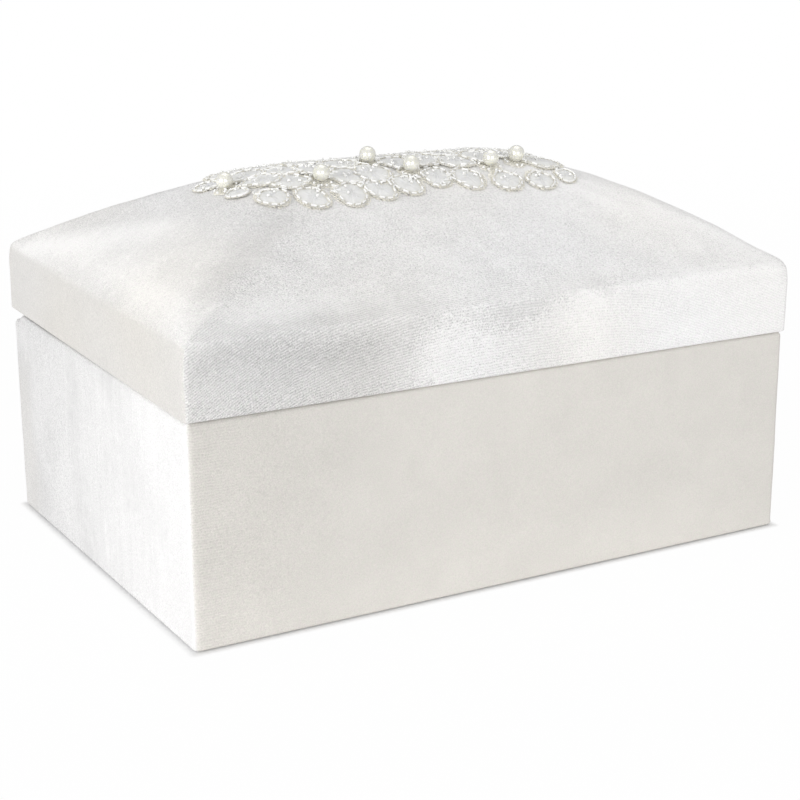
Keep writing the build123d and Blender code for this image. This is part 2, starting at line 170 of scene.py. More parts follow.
# Boards and cards: greyboard walls of the base and lid, and thinner card in the linings and pads.
# Cut from sheet and glued edge to edge, so they keep their CAD shape and only get their finish.
def new_finish(name, roughness, **sockets):
    """A material with its tree, its Principled shader and object coordinates. Sockets of the
    shader are given by name, with _ for a space."""
    made = bpy.data.materials.new(name)
    made.use_nodes = True
    shader = made.node_tree.nodes["Principled BSDF"]
    shader.inputs["Roughness"].default_value = roughness
    for key, value in sockets.items():
        shader.inputs[key.replace("_", " ")].default_value = value
    place = shader_node(made.node_tree, "ShaderNodeTexCoord").outputs["Object"]
    return made, made.node_tree, shader, place


def noise_value(tree, place, scale, detail=4, roughness=0.5, distortion=0, stretch=None):
    """The value of a noise texture, its pattern drawn out along an axis where stretch is given."""
    if stretch:
        mapping = [("Vector", place), ("Scale", stretch)]
        place = shader_node(tree, "ShaderNodeMapping", mapping).outputs[0]
    inputs = [("Vector", place), ("Scale", scale), ("Detail", detail)]
    inputs += [("Roughness", roughness), ("Distortion", distortion)]
    return shader_node(tree, "ShaderNodeTexNoise", inputs).outputs[0]


def weighted(tree, first, first_weight, second, second_weight):
    """Two values, each times its own weight, added."""
    rest = math_node(tree, "MULTIPLY", second, second_weight)
    return math_node(tree, "MULTIPLY_ADD", first, first_weight, rest)


def ramp_colour(tree, value, stops):
    """Colour that follows a value through stops, given as pairs of place and linear RGB."""
    ramp = shader_node(tree, "ShaderNodeValToRGB", [(0, value)])
    marks = ramp.color_ramp.elements
    while len(marks) < len(stops):
        marks.new(0.5)
    for mark, (at, colour) in zip(marks, stops):
        mark.position = at
        mark.color = (*colour, 1)
    return ramp.outputs[0]


def dyed(tree, shader, value, stops):
    """The shader's colour set to follow a value through stops."""
    tree.links.new(ramp_colour(tree, value, stops), shader.inputs["Base Color"])


def bump_normal(tree, shader, height, distance):
    """Bump from a height, in metres of distance at a height of one."""
    inputs = [("Height", height), ("Distance", distance), ("Strength", 1)]
    bump = shader_node(tree, "ShaderNodeBump", inputs)
    tree.links.new(bump.outputs[0], shader.inputs["Normal"])


def pulp_board(name, pale, dark):
    """Pressed paper pulp: flecks of two sizes in the colour, and a faint fibrous bump."""
    made, tree, shader, place = new_finish(name, 0.9)
    flecks = noise_value(tree, place, 900, 5, 0.7)
    clouds = noise_value(tree, place, 60, 3)
    mixed = weighted(tree, clouds, 0.4, flecks, 0.6)
    palest = tuple(min(1, 1.12 * channel) for channel in pale)
    dyed(tree, shader, mixed, [(0.35, dark), (0.5, pale), (0.7, palest)])
    bump_normal(tree, shader, flecks, 0.0001)
    return made


greyboard = pulp_board("greyboard_pulp", (0.27, 0.26, 0.23), (0.17, 0.16, 0.14))
white_card = pulp_board("lining_card_pulp", (0.58, 0.56, 0.51), (0.42, 0.40, 0.36))
for name, cad_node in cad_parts.items():
    if name.endswith("_board") or "card" in name:
        cad_node.data.materials.clear()
        cad_node.data.materials.append(greyboard if name.endswith("_board") else white_card)


# Felt sheet under the box: half a millimetre of pressed felt with rounded corners, glued to the
# filler card and the turned-under velvet. The box stands on it.
def ring_template(along_x, along_y, round_corner):
    """Columns round a rounded rectangle, as the share of each straight half and the corner's unit
    vector: a point is share times (half size less radius) plus unit vector times radius."""
    columns = []
    for quarter, (x_side, y_side) in enumerate(((1, 1), (-1, 1), (-1, -1), (1, -1))):
        angles = (quarter + np.arange(round_corner + 1) / round_corner) * math.pi / 2
        sides = np.tile([x_side, y_side], (round_corner + 1, 1))
        columns.append(np.column_stack([sides, np.cos(angles), np.sin(angles)]))
        steps = along_x if quarter % 2 == 0 else along_y
        run = 1 - 2 * np.arange(1, steps) / steps
        still = np.ones(steps - 1)
        if quarter % 2 == 0:
            straight = [x_side * run, y_side * still, 0 * still, y_side * still]
        else:
            straight = [x_side * still, y_side * run, x_side * still, 0 * still]
        columns.append(np.column_stack(straight))
    return np.vstack(columns)


def ring_grid(template, half_x, half_y, radius, height):
    """Rings of points: one ring for each half size, corner radius and height in the lists."""
    rings = map(np.atleast_1d, (half_x, half_y, radius, height))
    half_x, half_y, radius, height = np.broadcast_arrays(*rings)
    radius = np.minimum(radius, np.minimum(half_x, half_y))
    x = np.outer(half_x - radius, template[:, 0]) + np.outer(radius, template[:, 2])
    y = np.outer(half_y - radius, template[:, 1]) + np.outer(radius, template[:, 3])
    return np.dstack([x, y, np.tile(height[:, None], len(template))])


def quads_outward(grid, loop):
    """Corner numbers of the grid's quads, turned so that their faces point outwards."""
    rows, columns = grid.shape[:2]
    row = np.arange(rows if loop else rows - 1)[:, None]
    column = np.arange(columns)[None]
    above, beside = (row + 1) % rows * columns, (column + 1) % columns
    quads = [row * columns + column, row * columns + beside, above + beside, above + column]
    quads = np.stack(np.broadcast_arrays(*quads), -1).reshape(-1, 4)
    flat = grid.reshape(-1, 3)
    corner = flat[quads] - flat.mean(0)
    volume = np.einsum("ij,ij->i", corner[:, 0], np.cross(corner[:, 1], corner[:, 2])).sum()
    volume += np.einsum("ij,ij->i", corner[:, 0], np.cross(corner[:, 2], corner[:, 3])).sum()
    order = [0, 1, 2, 3] if volume > 0 else [3, 2, 1, 0]
    return quads[:, order], order


def cloth_lengths(grid, loop, order):
    """UV of each quad's corners: the length along its row and across the rows, in metres."""
    rows, columns = grid.shape[:2]
    ring = np.linalg.norm(np.diff(np.concatenate([grid, grid[:, :1]], 1), axis=1), axis=2)
    along = np.concatenate([np.zeros((rows, 1)), np.cumsum(ring, 1)], 1)
    along = np.tile(along[np.argmax(along[:, -1])], (rows + 1, 1))
    climb = np.linalg.norm(np.diff(np.concatenate([grid, grid[:1]], 0), axis=0), axis=2).mean(1)
    across = np.tile(np.concatenate([[0], np.cumsum(climb)])[:, None], columns + 1)
    row = np.arange(rows if loop else rows - 1)[:, None]
    column = np.arange(columns)[None]
    steps = [(row, column), (row, column + 1), (row + 1, column + 1), (row + 1, column)]
    steps = [np.broadcast_arrays(*step) for step in steps]
    picked = [np.stack([along[step[0], step[1]], across[step[0], step[1]]], -1) for step in steps]
    return np.stack(picked, 2).reshape(-1, 4, 2)[:, order].reshape(-1, 2)


def settled(name, mesh, finish, body, stands_for):
    """The mesh as a piece of the object, with its finish, its body and the nodes it replaces."""
    mesh.materials.append(finish)
    piece = bpy.data.objects.new(name, mesh)
    bpy.context.scene.collection.objects.link(piece)
    if body:
        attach(piece, body)
    if stands_for:
        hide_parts(*stands_for)
    return piece


def lofted_piece(name, grids, body, finish, stands_for=(), loop=False, marks=None, smooth=True):
    """A mesh of quads from grids of rows and closed columns. The rows close on themselves too if
    loop is set, or else the first and last rows are closed where their points meet. Marks are
    values of each point by name."""
    faces, uvs, start = [], [], 0
    for grid in grids:
        quads, order = quads_outward(grid, loop)
        faces.append(quads + start)
        uvs.append(cloth_lengths(grid, loop, order))
        start += grid.shape[0] * grid.shape[1]
    points = np.concatenate([grid.reshape(-1, 3) for grid in grids])
    mesh = bpy.data.meshes.new(name)
    mesh.from_pydata(points.tolist(), [], np.concatenate(faces).tolist())
    layer = mesh.uv_layers.new(name="UVMap")
    layer.data.foreach_set("uv", np.concatenate(uvs).astype(np.float32).ravel())
    for key, values in (marks or {}).items():
        attribute = mesh.attributes.new(key, "FLOAT", "POINT")
        values = np.concatenate([np.asarray(one, float).reshape(-1) for one in values])
        attribute.data.foreach_set("value", values.astype(np.float32))
    shell = bmesh.new()
    shell.from_mesh(mesh)
    bmesh.ops.remove_doubles(shell, verts=shell.verts, dist=1e-7)
    shell.to_mesh(mesh)
    shell.free()
    mesh.polygons.foreach_set("use_smooth", np.full(len(mesh.polygons), smooth))
    return settled(name, mesh, finish, body, stands_for)


def ripple(points, wavelength, seed, waves=16):
    """Sum of sine waves of one length in seeded directions, scaled to lie mostly within one."""
    draw = np.random.default_rng(seed)
    ways = unit(draw.normal(size=(waves, 3)))
    phases = draw.uniform(0, 2 * math.pi, waves)
    crests = np.sin(points @ ways.T * (2 * math.pi / wavelength) + phases)
    return crests.sum(-1) / math.sqrt(waves)


felt, tree, shader, place = new_finish("pressed_felt", 0.95, Sheen_Weight=0.2)
fibres = noise_value(tree, place, 1400, 6, 0.75, 1.2)
dyed(tree, shader, fibres, [(0.3, (0.52, 0.50, 0.45)), (0.6, (0.72, 0.70, 0.64))])
bump_normal(tree, shader, fibres, 0.0002)

felt_half = (0.151, 0.1075)
felt_thick = 0.0005
felt_corner = 0.005
felt_edge = [(0.1, 0), (0.03, 0), (0.0002, 0), (0.00005, 0.0001), (0, felt_thick / 2)]
felt_edge += [(0.00005, 0.0004), (0.0002, felt_thick), (0.03, felt_thick), (0.1, felt_thick)]
inset, height = np.array(felt_edge).T
felt_columns = ring_template(60, 44, 8)
felt_grid = ring_grid(felt_columns, felt_half[0] - inset, felt_half[1] - inset, felt_corner, height)
lowest, highest = felt_grid[[0]] * [0.5, 0, 0], felt_grid[[-1]] * [0.5, 0, 1]
felt_grid = np.concatenate([lowest, felt_grid, highest])
felt_piece = lofted_piece("bottom_felt", [felt_grid], "base", felt, ["bottom_sheet"])


# Velvet of the base: one length of ivory crushed velvet glued round the greyboard walls, turned
# over the top edge and 15 mm down inside, and turned 15 mm under the bottom.
def swing(tree, noise, gain, base):
    """How far a noise value lies from a half, times a gain, on top of a base value."""
    return math_node(tree, "MULTIPLY_ADD", math_node(tree, "SUBTRACT", noise, 0.5), gain, base)


def velvet_cloth(name, streak_stretch):
    """Short pile, its colour set by eight attributes in the order of the keys below: its brightness,
    which holds the lie of the pile together with painted light and shade; the strength of its fleck;
    two fields that fill with a ragged patch where they pass nought, a painted highlight, and painted
    shade with one small darker spot; two for the rows of the ground weave where it lies flat; the
    crushing drawn out along one way; and how ivory its white is."""
    made, tree, shader, place = new_finish(
        name, 0.8, Sheen_Weight=0.25, Sheen_Roughness=0.35, Specular_IOR_Level=0.25
    )
    keys = ("nap_and_light", "grain", "painted_highlight", "dark", "rib", "ribline", "streak", "warm")
    nap_and_light, grain, painted_highlight, dark, rib, line, streak, warm = (
        shader_node(tree, "ShaderNodeAttribute", attribute_name=key).outputs["Fac"] for key in keys
    )
    flecks = noise_value(tree, place, 560, 3, 0.75, 3.2)
    specks = noise_value(tree, place, 1700, 2, 0.6)
    clouds = noise_value(tree, place, 45, 5, 0.6, 0.6)
    tufts = noise_value(tree, place, 190, 5, 0.7, 0.6)
    tears = noise_value(tree, place, 260, 4, 0.65, 0.7, streak_stretch)
    wobble = noise_value(tree, place, 180, 3)
    tints = noise_value(tree, place, 820, 2)

    # Thin creases run where a slow noise crosses a half, in some places only.
    folds = noise_value(tree, place, 60, 2, 0.5, 0.5, streak_stretch)
    folds = math_node(tree, "ABSOLUTE", math_node(tree, "SUBTRACT", folds, 0.5))
    folds = map_range(tree, folds, 0.002, 0.014, 1, 0)
    places = map_range(tree, clouds, 0.5, 0.62)
    folds = math_node(tree, "MULTIPLY", folds, math_node(tree, "MULTIPLY", places, streak))

    speckle = math_node(tree, "MULTIPLY", math_node(tree, "SUBTRACT", flecks, 0.5), 3.6)
    speckle = swing(tree, specks, 3.2, speckle)
    ragged = swing(tree, tufts, 3.2, speckle)
    # The first attribute brings painted light and shade into the brightness, and the two fields add a
    # painted highlight and painted shade.
    value = swing(tree, clouds, 0.22, nap_and_light)
    for field, gain in ((painted_highlight, 0.25), (dark, -0.2)):
        field = math_node(tree, "ADD", field, ragged)
        patch = map_range(tree, field, -0.6, 0.6, interpolation_type="SMOOTHSTEP")
        value = math_node(tree, "MULTIPLY_ADD", patch, gain, value)
    rows = weighted(tree, line, 2 * math.pi, wobble, 9)
    rows = math_node(tree, "MULTIPLY", math_node(tree, "SINE", rows), rib)
    value = swing(tree, tears, streak, value)
    for layer, gain in ((folds, 0.45), (speckle, grain), (rows, 0.2)):
        value = math_node(tree, "MULTIPLY_ADD", layer, gain, value)
    value = math_node(tree, "MULTIPLY_ADD", value, 0.6, 0.2)
    colour = ramp_colour(tree, value, [(0, (0.417, 0.417, 0.417)), (0.845, (0.98, 0.98, 0.98))])
    ivory = ramp_colour(tree, warm, [(0, (1, 1, 1)), (1, (1, 0.972, 0.915))])
    tint = ramp_colour(tree, tints, [(0.35, (1, 0.98, 0.995)), (0.65, (0.985, 0.995, 0.98))])
    for layer in (ivory, tint):
        inputs = [(0, 1), (6, colour), (7, layer)]
        kind = {"data_type": "RGBA", "blend_type": "MULTIPLY"}
        colour = shader_node(tree, "ShaderNodeMix", inputs, **kind).outputs[2]
    tree.links.new(colour, shader.inputs["Base Color"])
    bump_normal(tree, shader, weighted(tree, rows, 0.5, speckle, grain), 0.0001)
    return made


def bell(values, centre, width):
    """A smooth hump of height one."""
    return np.exp(-(((values - centre) / width) ** 2))


def rise(values, low, high):
    """Smooth climb from 0 at low to 1 at high."""
    share = np.clip((values - low) / (high - low), 0, 1)
    return share * share * (3 - 2 * share)


def relieved(grid, relief):
    """The grid moved along its own normals, which come from the steps along and across it."""
    ahead = np.roll(grid, -1, 1) - np.roll(grid, 1, 1)
    up = np.roll(grid, -1, 0) - np.roll(grid, 1, 0)
    normal = np.cross(ahead, up)
    normal /= np.maximum(np.linalg.norm(normal, axis=2), 1e-12)[..., None]
    return grid + normal * relief[..., None]


def wall_rings(columns, half, inset, height):
    """Rings of a wall at insets from its outer face; its corners are rounder outside than in."""
    radius = np.maximum(wall_corner - inset, tightest_corner)
    return ring_grid(columns, half[0] - inset, half[1] - inset, radius, height)


base_velvet = velvet_cloth("crushed_velvet_base", (1, 1, 0.1))
base_half = np.array([0.155, 0.1115])
velvet_thick = 0.0008
board_inside = velvet_thick + 0.0025
wall_thick = board_inside + velvet_thick
wall_corner = 0.003
tightest_corner = 0.0004
soft_edge = 0.0014
top_edge = 0.0022
turn_under = 0.015
base_top = 0.0985
board_top = base_top - velvet_thick
board_low = felt_thick + velvet_thick
rib_pitch = 0.00125

# The profile is pairs of inset and height, from the turned-under edge up the wall, over the top
# and down inside, and then back along the glued face.
quarter_turn = np.linspace(0, math.pi / 2, 7)
easing, closing = 1 - np.cos(quarter_turn), 1 - np.sin(quarter_turn)
under_edge = [(turn_under, felt_thick), (0.008, felt_thick), (0.003, felt_thick)]
foot = np.column_stack([soft_edge * closing, felt_thick + soft_edge * easing])
wall = [(0, z) for z in np.linspace(0.0035, 0.0945, 46)]
top_outer = np.column_stack([top_edge * easing, base_top - top_edge * closing])
top_inner = np.column_stack([wall_thick - soft_edge * closing, base_top - soft_edge * easing])
inside = [(wall_thick, 0.094), (wall_thick, 0.090), (wall_thick, 0.0838)]
inside += [(0.0039, 0.0835), (board_inside, 0.0836)]
glued = [(board_inside, 0.0975), (0.0031, board_top), (0.0010, board_top), (velvet_thick, 0.0975)]
glued += [(velvet_thick, 0.0015), (0.0010, board_low), (turn_under, board_low)]
base_profile = np.concatenate([under_edge, foot, wall, top_outer, top_inner, inside, glued])
inset, height = base_profile.T
base_grid = wall_rings(ring_template(150, 108, 6), base_half, inset, height)
outside = ((inset < velvet_thick) & (height > 0.002) & (height < 0.098))[:, None]
pull = 0.00012 * ripple(base_grid, 0.055, 11) + 0.00006 * ripple(base_grid, 0.017, 12) - 0.0001
base_grid = relieved(base_grid, np.where(outside, -np.abs(pull), 0))

# The raised lid leaves room towards the back, and the velvet of the top edge puffs up into it.
lid_room = 0.0051
x, y, z = np.moveaxis(base_grid, 2, 0)
far = (y + base_half[1]) / (2 * base_half[1])
first_top = len(under_edge) + len(foot) + len(wall)
top_rows = slice(first_top, first_top + len(top_outer) + len(top_inner))
puffed = np.zeros((len(base_profile), 1))
puffed[top_rows, 0] = rise(height[top_rows], base_top - top_edge, base_top)
base_grid[..., 2] += 0.68 * lid_room * far * puffed * (1 - rise(y, 0.100, 0.1065))

# How bright the velvet is painted: the lie of the pile together with painted light and shade, the
# left side brightest where the left lamp falls on it. The corners part the sides along lines at 45
# degrees in plan; far runs from 0 in front to 1 at the back. A field of -9 fills nowhere.
nowhere = -9
corner_line = base_half[0] - base_half[1]
corner_blur = 0.0004
on_left = rise(-x - np.abs(y), corner_line - corner_blur, corner_line + corner_blur)
on_right = rise(x - np.abs(y), corner_line - corner_blur, corner_line + corner_blur)
# Painted light on the left side: brightest near the front where the left lamp falls, darker on its
# rounded front corner, darker towards the back, and darker near the top at the back.
left_nap_and_light = 0.87 - 0.16 * rise(-y, 0.1085, 0.1112)
left_nap_and_light -= 0.14 * rise(far, 0.1, 0.5) + 0.08 * rise(far, 0.5, 0.9)
left_nap_and_light -= 0.07 * rise(z + 0.02 * far, 0.07, 0.1) * rise(far, 0.1, 0.4)
left_nap_and_light += 0.05 * ripple(base_grid, 0.05, 23) * rise(far, 0, 0.5)
# Painted shade on the left side: a darker strip along its back below the top, and ragged darker
# patches.
strip = (far - 0.88 + 0.022 * ripple(base_grid, 0.05, 26)) / 0.05
strip = np.minimum(strip, (0.082 - z) / 0.012)
smooth_strip = rise(strip, -0.5, 1.5) * on_left
patchy = 0.9 * ripple(base_grid * [1, 1, 0.6], 0.034, 25) - 1.1
dark = np.where(on_left > 0.5, np.maximum(strip, patchy), nowhere)
# Painted light and shade on the other sides: the front darker towards the left, lighter over its lowest
# 4 cm and darker high on the left, and the right side a little lighter.
nap_and_light = 0.42 - 0.08 * rise(-x, 0.0, 0.13) + 0.015 * ripple(base_grid * [1, 1, 2.5], 0.09, 24)
nap_and_light += 0.12 * (1 - rise(z, 0, 0.04)) - 0.07 * rise(-x, 0.04, 0.12) * rise(z, 0.04, 0.08)
nap_and_light += on_left * (left_nap_and_light - nap_and_light) + on_right * 0.08
grain = 0.12 + on_left * (0.2 + 0.24 * rise(far, 0.3, 0.8)) - 0.2 * smooth_strip
grain += 0.08 * on_right + 0.12 * rise(-x, 0.06, 0.15) * (1 - on_left)
rib = rise(-x, 0.12, 0.153) * rise(-y, 0.1, 0.111) * 0.34 * (1 - on_left)
streak = 0.36 * on_left * rise(far, 0, 0.25) * (1 - smooth_strip)
warm = 1 - 0.95 * on_left + 0.3 * on_left * smooth_strip - 0.3 * on_right
marks = {
    "nap_and_light": [nap_and_light], "grain": [grain], "painted_highlight": [np.full_like(x, nowhere)], "dark": [dark],
    "rib": [rib], "ribline": [z / rib_pitch], "streak": [streak], "warm": [warm],
}
base_wrap = ["base_velvet_wrap"]
lofted_piece(
    "base_velvet", [base_grid], "base", base_velvet, base_wrap, loop=True, marks=marks
)


# Linings: satin drawn over thin card, four panels in the base and four in the lid. The satin goes
# round the card's edges, and is glued to its back.
tilt = math.radians(1.41284)
lid_origin = np.array([0, -0.0006105, 0.1016645])


def base_place(local):
    """Points of the base, whose own frame is the box's."""
    return local


def lid_place(local):
    """Points in the lid's own plane, Z up from its rim, put where the lid rests on the box."""
    x, y, z = np.moveaxis(np.asarray(local, float), -1, 0)
    turned = [x, y * math.cos(tilt) - z * math.sin(tilt), y * math.sin(tilt) + z * math.cos(tilt)]
    return np.stack(turned, -1) + lid_origin


def satin_cloth(name, stretch):
    """Satin: long floats along the stretched way, so a soft shine, with slight creases."""
    made, tree, shader, place = new_finish(name, 0.42, Sheen_Weight=0.3, Anisotropic=0.5)
    floats = noise_value(tree, place, 420, 4, 0.6, 0, stretch)
    creases = noise_value(tree, place, 26, 4, 0.5, 0.8)
    mixed = weighted(tree, creases, 0.5, floats, 0.5)
    dyed(tree, shader, mixed, [(0.3, (0.72, 0.69, 0.61)), (0.7, (0.86, 0.835, 0.765))])
    bump_normal(tree, shader, math_node(tree, "MULTIPLY_ADD", creases, 3, floats), 0.00012)
    return made


lining_satin = satin_cloth("lining_satin", (0.12, 1, 1))
card_thick = 0.0015
satin_thick = 0.0004
glue = 0.0001
hair = 0.00002
card_face = card_thick + 0.00003
panel_edge = 0.0009
panel_columns = ring_template(56, 20, 3)


def lining_skin(half_width, half_height, seed):
    """Local grid of a covered card: rings run from the face's middle over the rounded edge to the
    card's back, then inside the satin to the middle again. Z points into the box."""
    deep = card_thick + satin_thick
    bend = np.linspace(0, math.pi / 2, 5)
    face = [0.003 + (half_height - 0.003) * share for share in (0.6, 0.3, 0.12)]
    rings = [(inset, deep) for inset in face + [0.003, 0.0022, 0.0015]]
    rings += [(panel_edge * (1 - math.sin(a)), deep - panel_edge * (1 - math.cos(a))) for a in bend]
    face_rings = len(rings) - 1
    rings += [(0, 0.0005), (0, hair), (satin_thick, hair), (satin_thick, card_face)]
    rings += [(0.002, card_face + hair), (half_height / 2, card_face + hair)]
    inset, level = np.array(rings).T
    skin = ring_grid(panel_columns, half_width - inset, half_height - inset, tightest_corner, level)
    puckers = 0.00009 * ripple(skin, 0.03, seed)
    puckers += 0.00004 * ripple(skin * [1, 0.3, 1], 0.008, seed + 1)
    puckers = np.minimum(np.abs(puckers), 0.0002) * rise(inset, panel_edge, 0.004)[:, None]
    skin[:face_rings, :, 2] -= puckers[:face_rings]
    ends = skin[[0, -1]] * [1, 0, 1]
    ends[..., 0] = np.clip(ends[..., 0], -half_width / 2, half_width / 2)
    return np.concatenate([ends[:1], skin, ends[1:]])


def add_linings(prefix, body, half, low, high, place):
    """Four covered cards against the walls; the back one stands in front of the hinge cloth."""
    gap = wall_thick + glue
    front, back, end = gap - half[1], half[1] - gap - satin_thick - glue, half[0] - gap
    across = (back - front) / 2 - card_thick - satin_thick - glue
    middle, half_height = (low + high) / 2, (high - low) / 2
    turns = {
        "front": ((0, front), (1, 0, 0), (0, 1, 0), end),
        "back": ((0, back), (-1, 0, 0), (0, -1, 0), end),
        "left": ((-end, (front + back) / 2), (0, -1, 0), (1, 0, 0), across),
        "right": ((end, (front + back) / 2), (0, 1, 0), (-1, 0, 0), across),
    }
    for number, (name, (spot, right, inward, half_width)) in enumerate(turns.items()):
        local = lining_skin(half_width, half_height, 40 + 3 * number)
        grid = np.array([*spot, middle]) + local @ np.array([right, (0, 0, 1), inward], float)
        node = f"{prefix}lining_satin_{name}"
        lofted_piece(f"{node}_cloth", [place(grid)], body, lining_satin, [node])


base_floor = 0.0038
add_linings("", "base", base_half, base_floor, 0.097, base_place)

# Floor pad: card, a layer of wadding and satin drawn over both, dropped in between the linings.
# Its edge climbs in a quarter ellipse to a level top, and the satin gathers a little at the corners.
wadding, tree, shader, place = new_finish("polyester_wadding", 0.95)
tufts = noise_value(tree, place, 300, 6, 0.7, 2)
dyed(tree, shader, tufts, [(0.3, (0.72, 0.72, 0.70)), (0.7, (0.86, 0.86, 0.84))])
bump_normal(tree, shader, tufts, 0.0008)
pad_satin = satin_cloth("pad_satin", (1, 0.12, 1))
pad_rise = 0.004
pad_run = 0.024
pad_corner = 0.004
pad_inset = wall_thick + glue + card_thick + 2 * satin_thick
pad_shift = -(satin_thick + glue) / 2
pad_columns = ring_template(110, 78, 7)


def pad_rings(half_x, half_y, climb, low, under):
    """Rings of a crowned pad from its middle line, down its edge, and under it to the middle. Also
    gives each ring's inset and the number of rings on top."""
    angles = np.linspace(math.pi / 2, 0, 16)
    middle = half_y - np.array([0.0, 0.25, 0.5, 0.75]) * (half_y - pad_run)
    edge = np.column_stack([pad_run * (1 - np.cos(angles)), low + climb * np.sin(angles)])
    level = np.column_stack([middle, np.full(len(middle), low + climb)])
    inset, height = np.concatenate([level, edge, under]).T
    radius = pad_corner + np.minimum(inset, 0.04) / 2
    grid = ring_grid(pad_columns, half_x - inset, half_y - inset, radius, height)
    return grid, inset[:, None], len(level) + len(edge)


def add_pad(prefix, body, half, floor_z, facing, place, seed):
    """Wadding and satin of one padded panel; facing is 1 for the floor and -1 for the lid."""
    half_x, half_y = half[0] - pad_inset, half[1] - pad_inset + pad_shift
    skin = satin_thick
    under = [(0, 0.0008), (0, 2 * hair), (skin, 2 * hair), (skin, card_face)]
    under += [(0.01, card_face), (half_y, card_face)]
    satin_grid, inset, top_rings = pad_rings(half_x, half_y, pad_rise + skin, card_thick, under)
    edge = bell(inset, 0.012, 0.012) * (inset > 0.0002)
    corner = np.abs(satin_grid[..., 0]) / half_x + np.abs(satin_grid[..., 1]) / half_y
    plan = satin_grid * [1, 1, 0]
    gathers = 0.00022 * edge * (0.3 + rise(corner, 1.4, 1.9)) * ripple(plan, 0.014, seed)
    gathers += 0.0001 * ripple(plan, 0.045, seed + 1) * (inset > 0.004)
    satin_grid[:top_rings, :, 2] -= np.abs(gathers[:top_rings])
    low = card_thick + glue
    under = [(0.006, low), (half_y - skin, low)]
    wadding_half = half_x - 2 * skin, half_y - 2 * skin
    wadding_grid = pad_rings(*wadding_half, pad_rise - 0.0006, low, under)[0]
    for grid, kind, finish in ((satin_grid, "satin", pad_satin), (wadding_grid, "wadding", wadding)):
        grid = grid * [1, 1, facing] + [0, pad_shift, floor_z]
        node = f"{prefix}_{kind}"
        piece = lofted_piece(f"{node}_soft", [place(grid)], body, finish, [node])


add_pad("floor_pad", "base", base_half, base_floor, 1, base_place, 60)


# Cloth hinge: one strip of thin twill glued inside the back wall and inside the lid's back rim.
# On the box the few free millimetres between them bend when the lid opens; this strip is one fixed
# shape, attached to neither the base nor the lid.
def wave_value(tree, place, scale, distortion=0, **settings):
    """The value of a wave texture."""
    inputs = [("Vector", place), ("Scale", scale), ("Distortion", distortion)]
    return shader_node(tree, "ShaderNodeTexWave", inputs, **settings).outputs["Fac"]


twill, tree, shader, place = new_finish("hinge_twill", 0.85)
weave = wave_value(tree, place, 260, 1.5, bands_direction="DIAGONAL")
dyed(tree, shader, weave, [(0.1, (0.66, 0.63, 0.56)), (0.9, (0.79, 0.765, 0.70))])
bump_normal(tree, shader, weave, 0.00004)
pivot = np.array([0.1071, 0.1035208])
lid_half = np.array([0.1562, 0.1121235])
hinge_half = 0.146
hinge_skin = satin_thick / 2 - 2 * hair
hinge_gap = 0.0002
hinge_in_lid = lid_half[1] - wall_thick - glue - satin_thick / 2
lower = [(pivot[0], z) for z in np.linspace(0.0805, pivot[1] - hinge_gap, 30)]
upper = lid_place([(0, hinge_in_lid, z) for z in np.linspace(-hinge_gap, 0.018, 24)])[:, 1:]
hinge_line = np.concatenate([lower, upper])
hinge_way = unit(np.gradient(hinge_line, axis=0))
hinge_side = np.column_stack([-hinge_way[:, 1], hinge_way[:, 0]]) * hinge_skin
hinge_x = np.pad(np.linspace(-hinge_half, hinge_half, 60), 1, "edge")
hinge_grid = np.empty((len(hinge_x), 2 * len(hinge_line), 3))
hinge_grid[..., 0] = hinge_x[:, None]
hinge_grid[1:-1, :, 1:] = np.concatenate([hinge_line - hinge_side, (hinge_line + hinge_side)[::-1]])
hinge_grid[[0, -1], :, 1:] = np.concatenate([hinge_line, hinge_line[::-1]])
hinge_nodes = ["hinge_cloth_lower", "hinge_cloth_upper"]
hinge = lofted_piece("hinge_cloth", [hinge_grid], None, twill, hinge_nodes)
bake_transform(hinge)

# Linings and padded ceiling of the lid: made like those of the base, glued inside the rim and
# under the top board, and tilted with the lid.
lid_ceiling = 0.0271566
add_linings("lid_", "lid", lid_half, 0.0015, lid_ceiling, lid_place)
add_pad("lid_pad", "lid", lid_half, lid_ceiling, -1, lid_place, 70)

# Lid: shaped wadding on the top board makes the dome, and one length of crushed velvet is drawn
# over it, down the rim and 12 mm up inside. The hips run from the rim's corners to the crown.
rim_height = 0.0328
dome_rise = 0.0458
shoulder = 0.005
side_slope = 1.1775 * dome_rise / lid_half[1]
side_angle = math.atan(side_slope)
side_start = -shoulder * math.tan((math.pi / 2 - side_angle) / 2)
crown_radius = (side_slope * lid_half[1] - dome_rise) / (1 / math.cos(side_angle) - 1)
crown_centre = dome_rise - crown_radius
end_run = 0.1157
end_radius = (end_run**2 + dome_rise**2) / (2 * dome_rise)
end_centre = dome_rise - end_radius
end_start = end_centre + math.sqrt((end_radius - shoulder) ** 2 - (end_run - shoulder) ** 2)
end_sine = (end_start - end_centre) / (end_radius - shoulder)
dome_foot = min(side_start, end_start)


def root(values):
    """Square root that treats what is below zero as zero."""
    return np.sqrt(np.maximum(values, 0))


def side_reach(z, inset):
    """Half depth of the dome: rounded shoulder, straight slope, then the crown's arc."""
    radius = shoulder - inset
    arc = lid_half[1] - shoulder + root(radius**2 - (z - side_start) ** 2)
    slope = lid_half[1] - (z + inset / math.cos(side_angle)) / side_slope
    crown = root((crown_radius - inset) ** 2 - (z - crown_centre) ** 2)
    slope_from = side_start + radius * math.cos(side_angle)
    crown_from = crown_centre + (crown_radius - inset) * math.cos(side_angle)
    below = np.where(z <= side_start, lid_half[1] - inset, arc)
    return np.where(z <= slope_from, below, np.where(z <= crown_from, slope, crown))


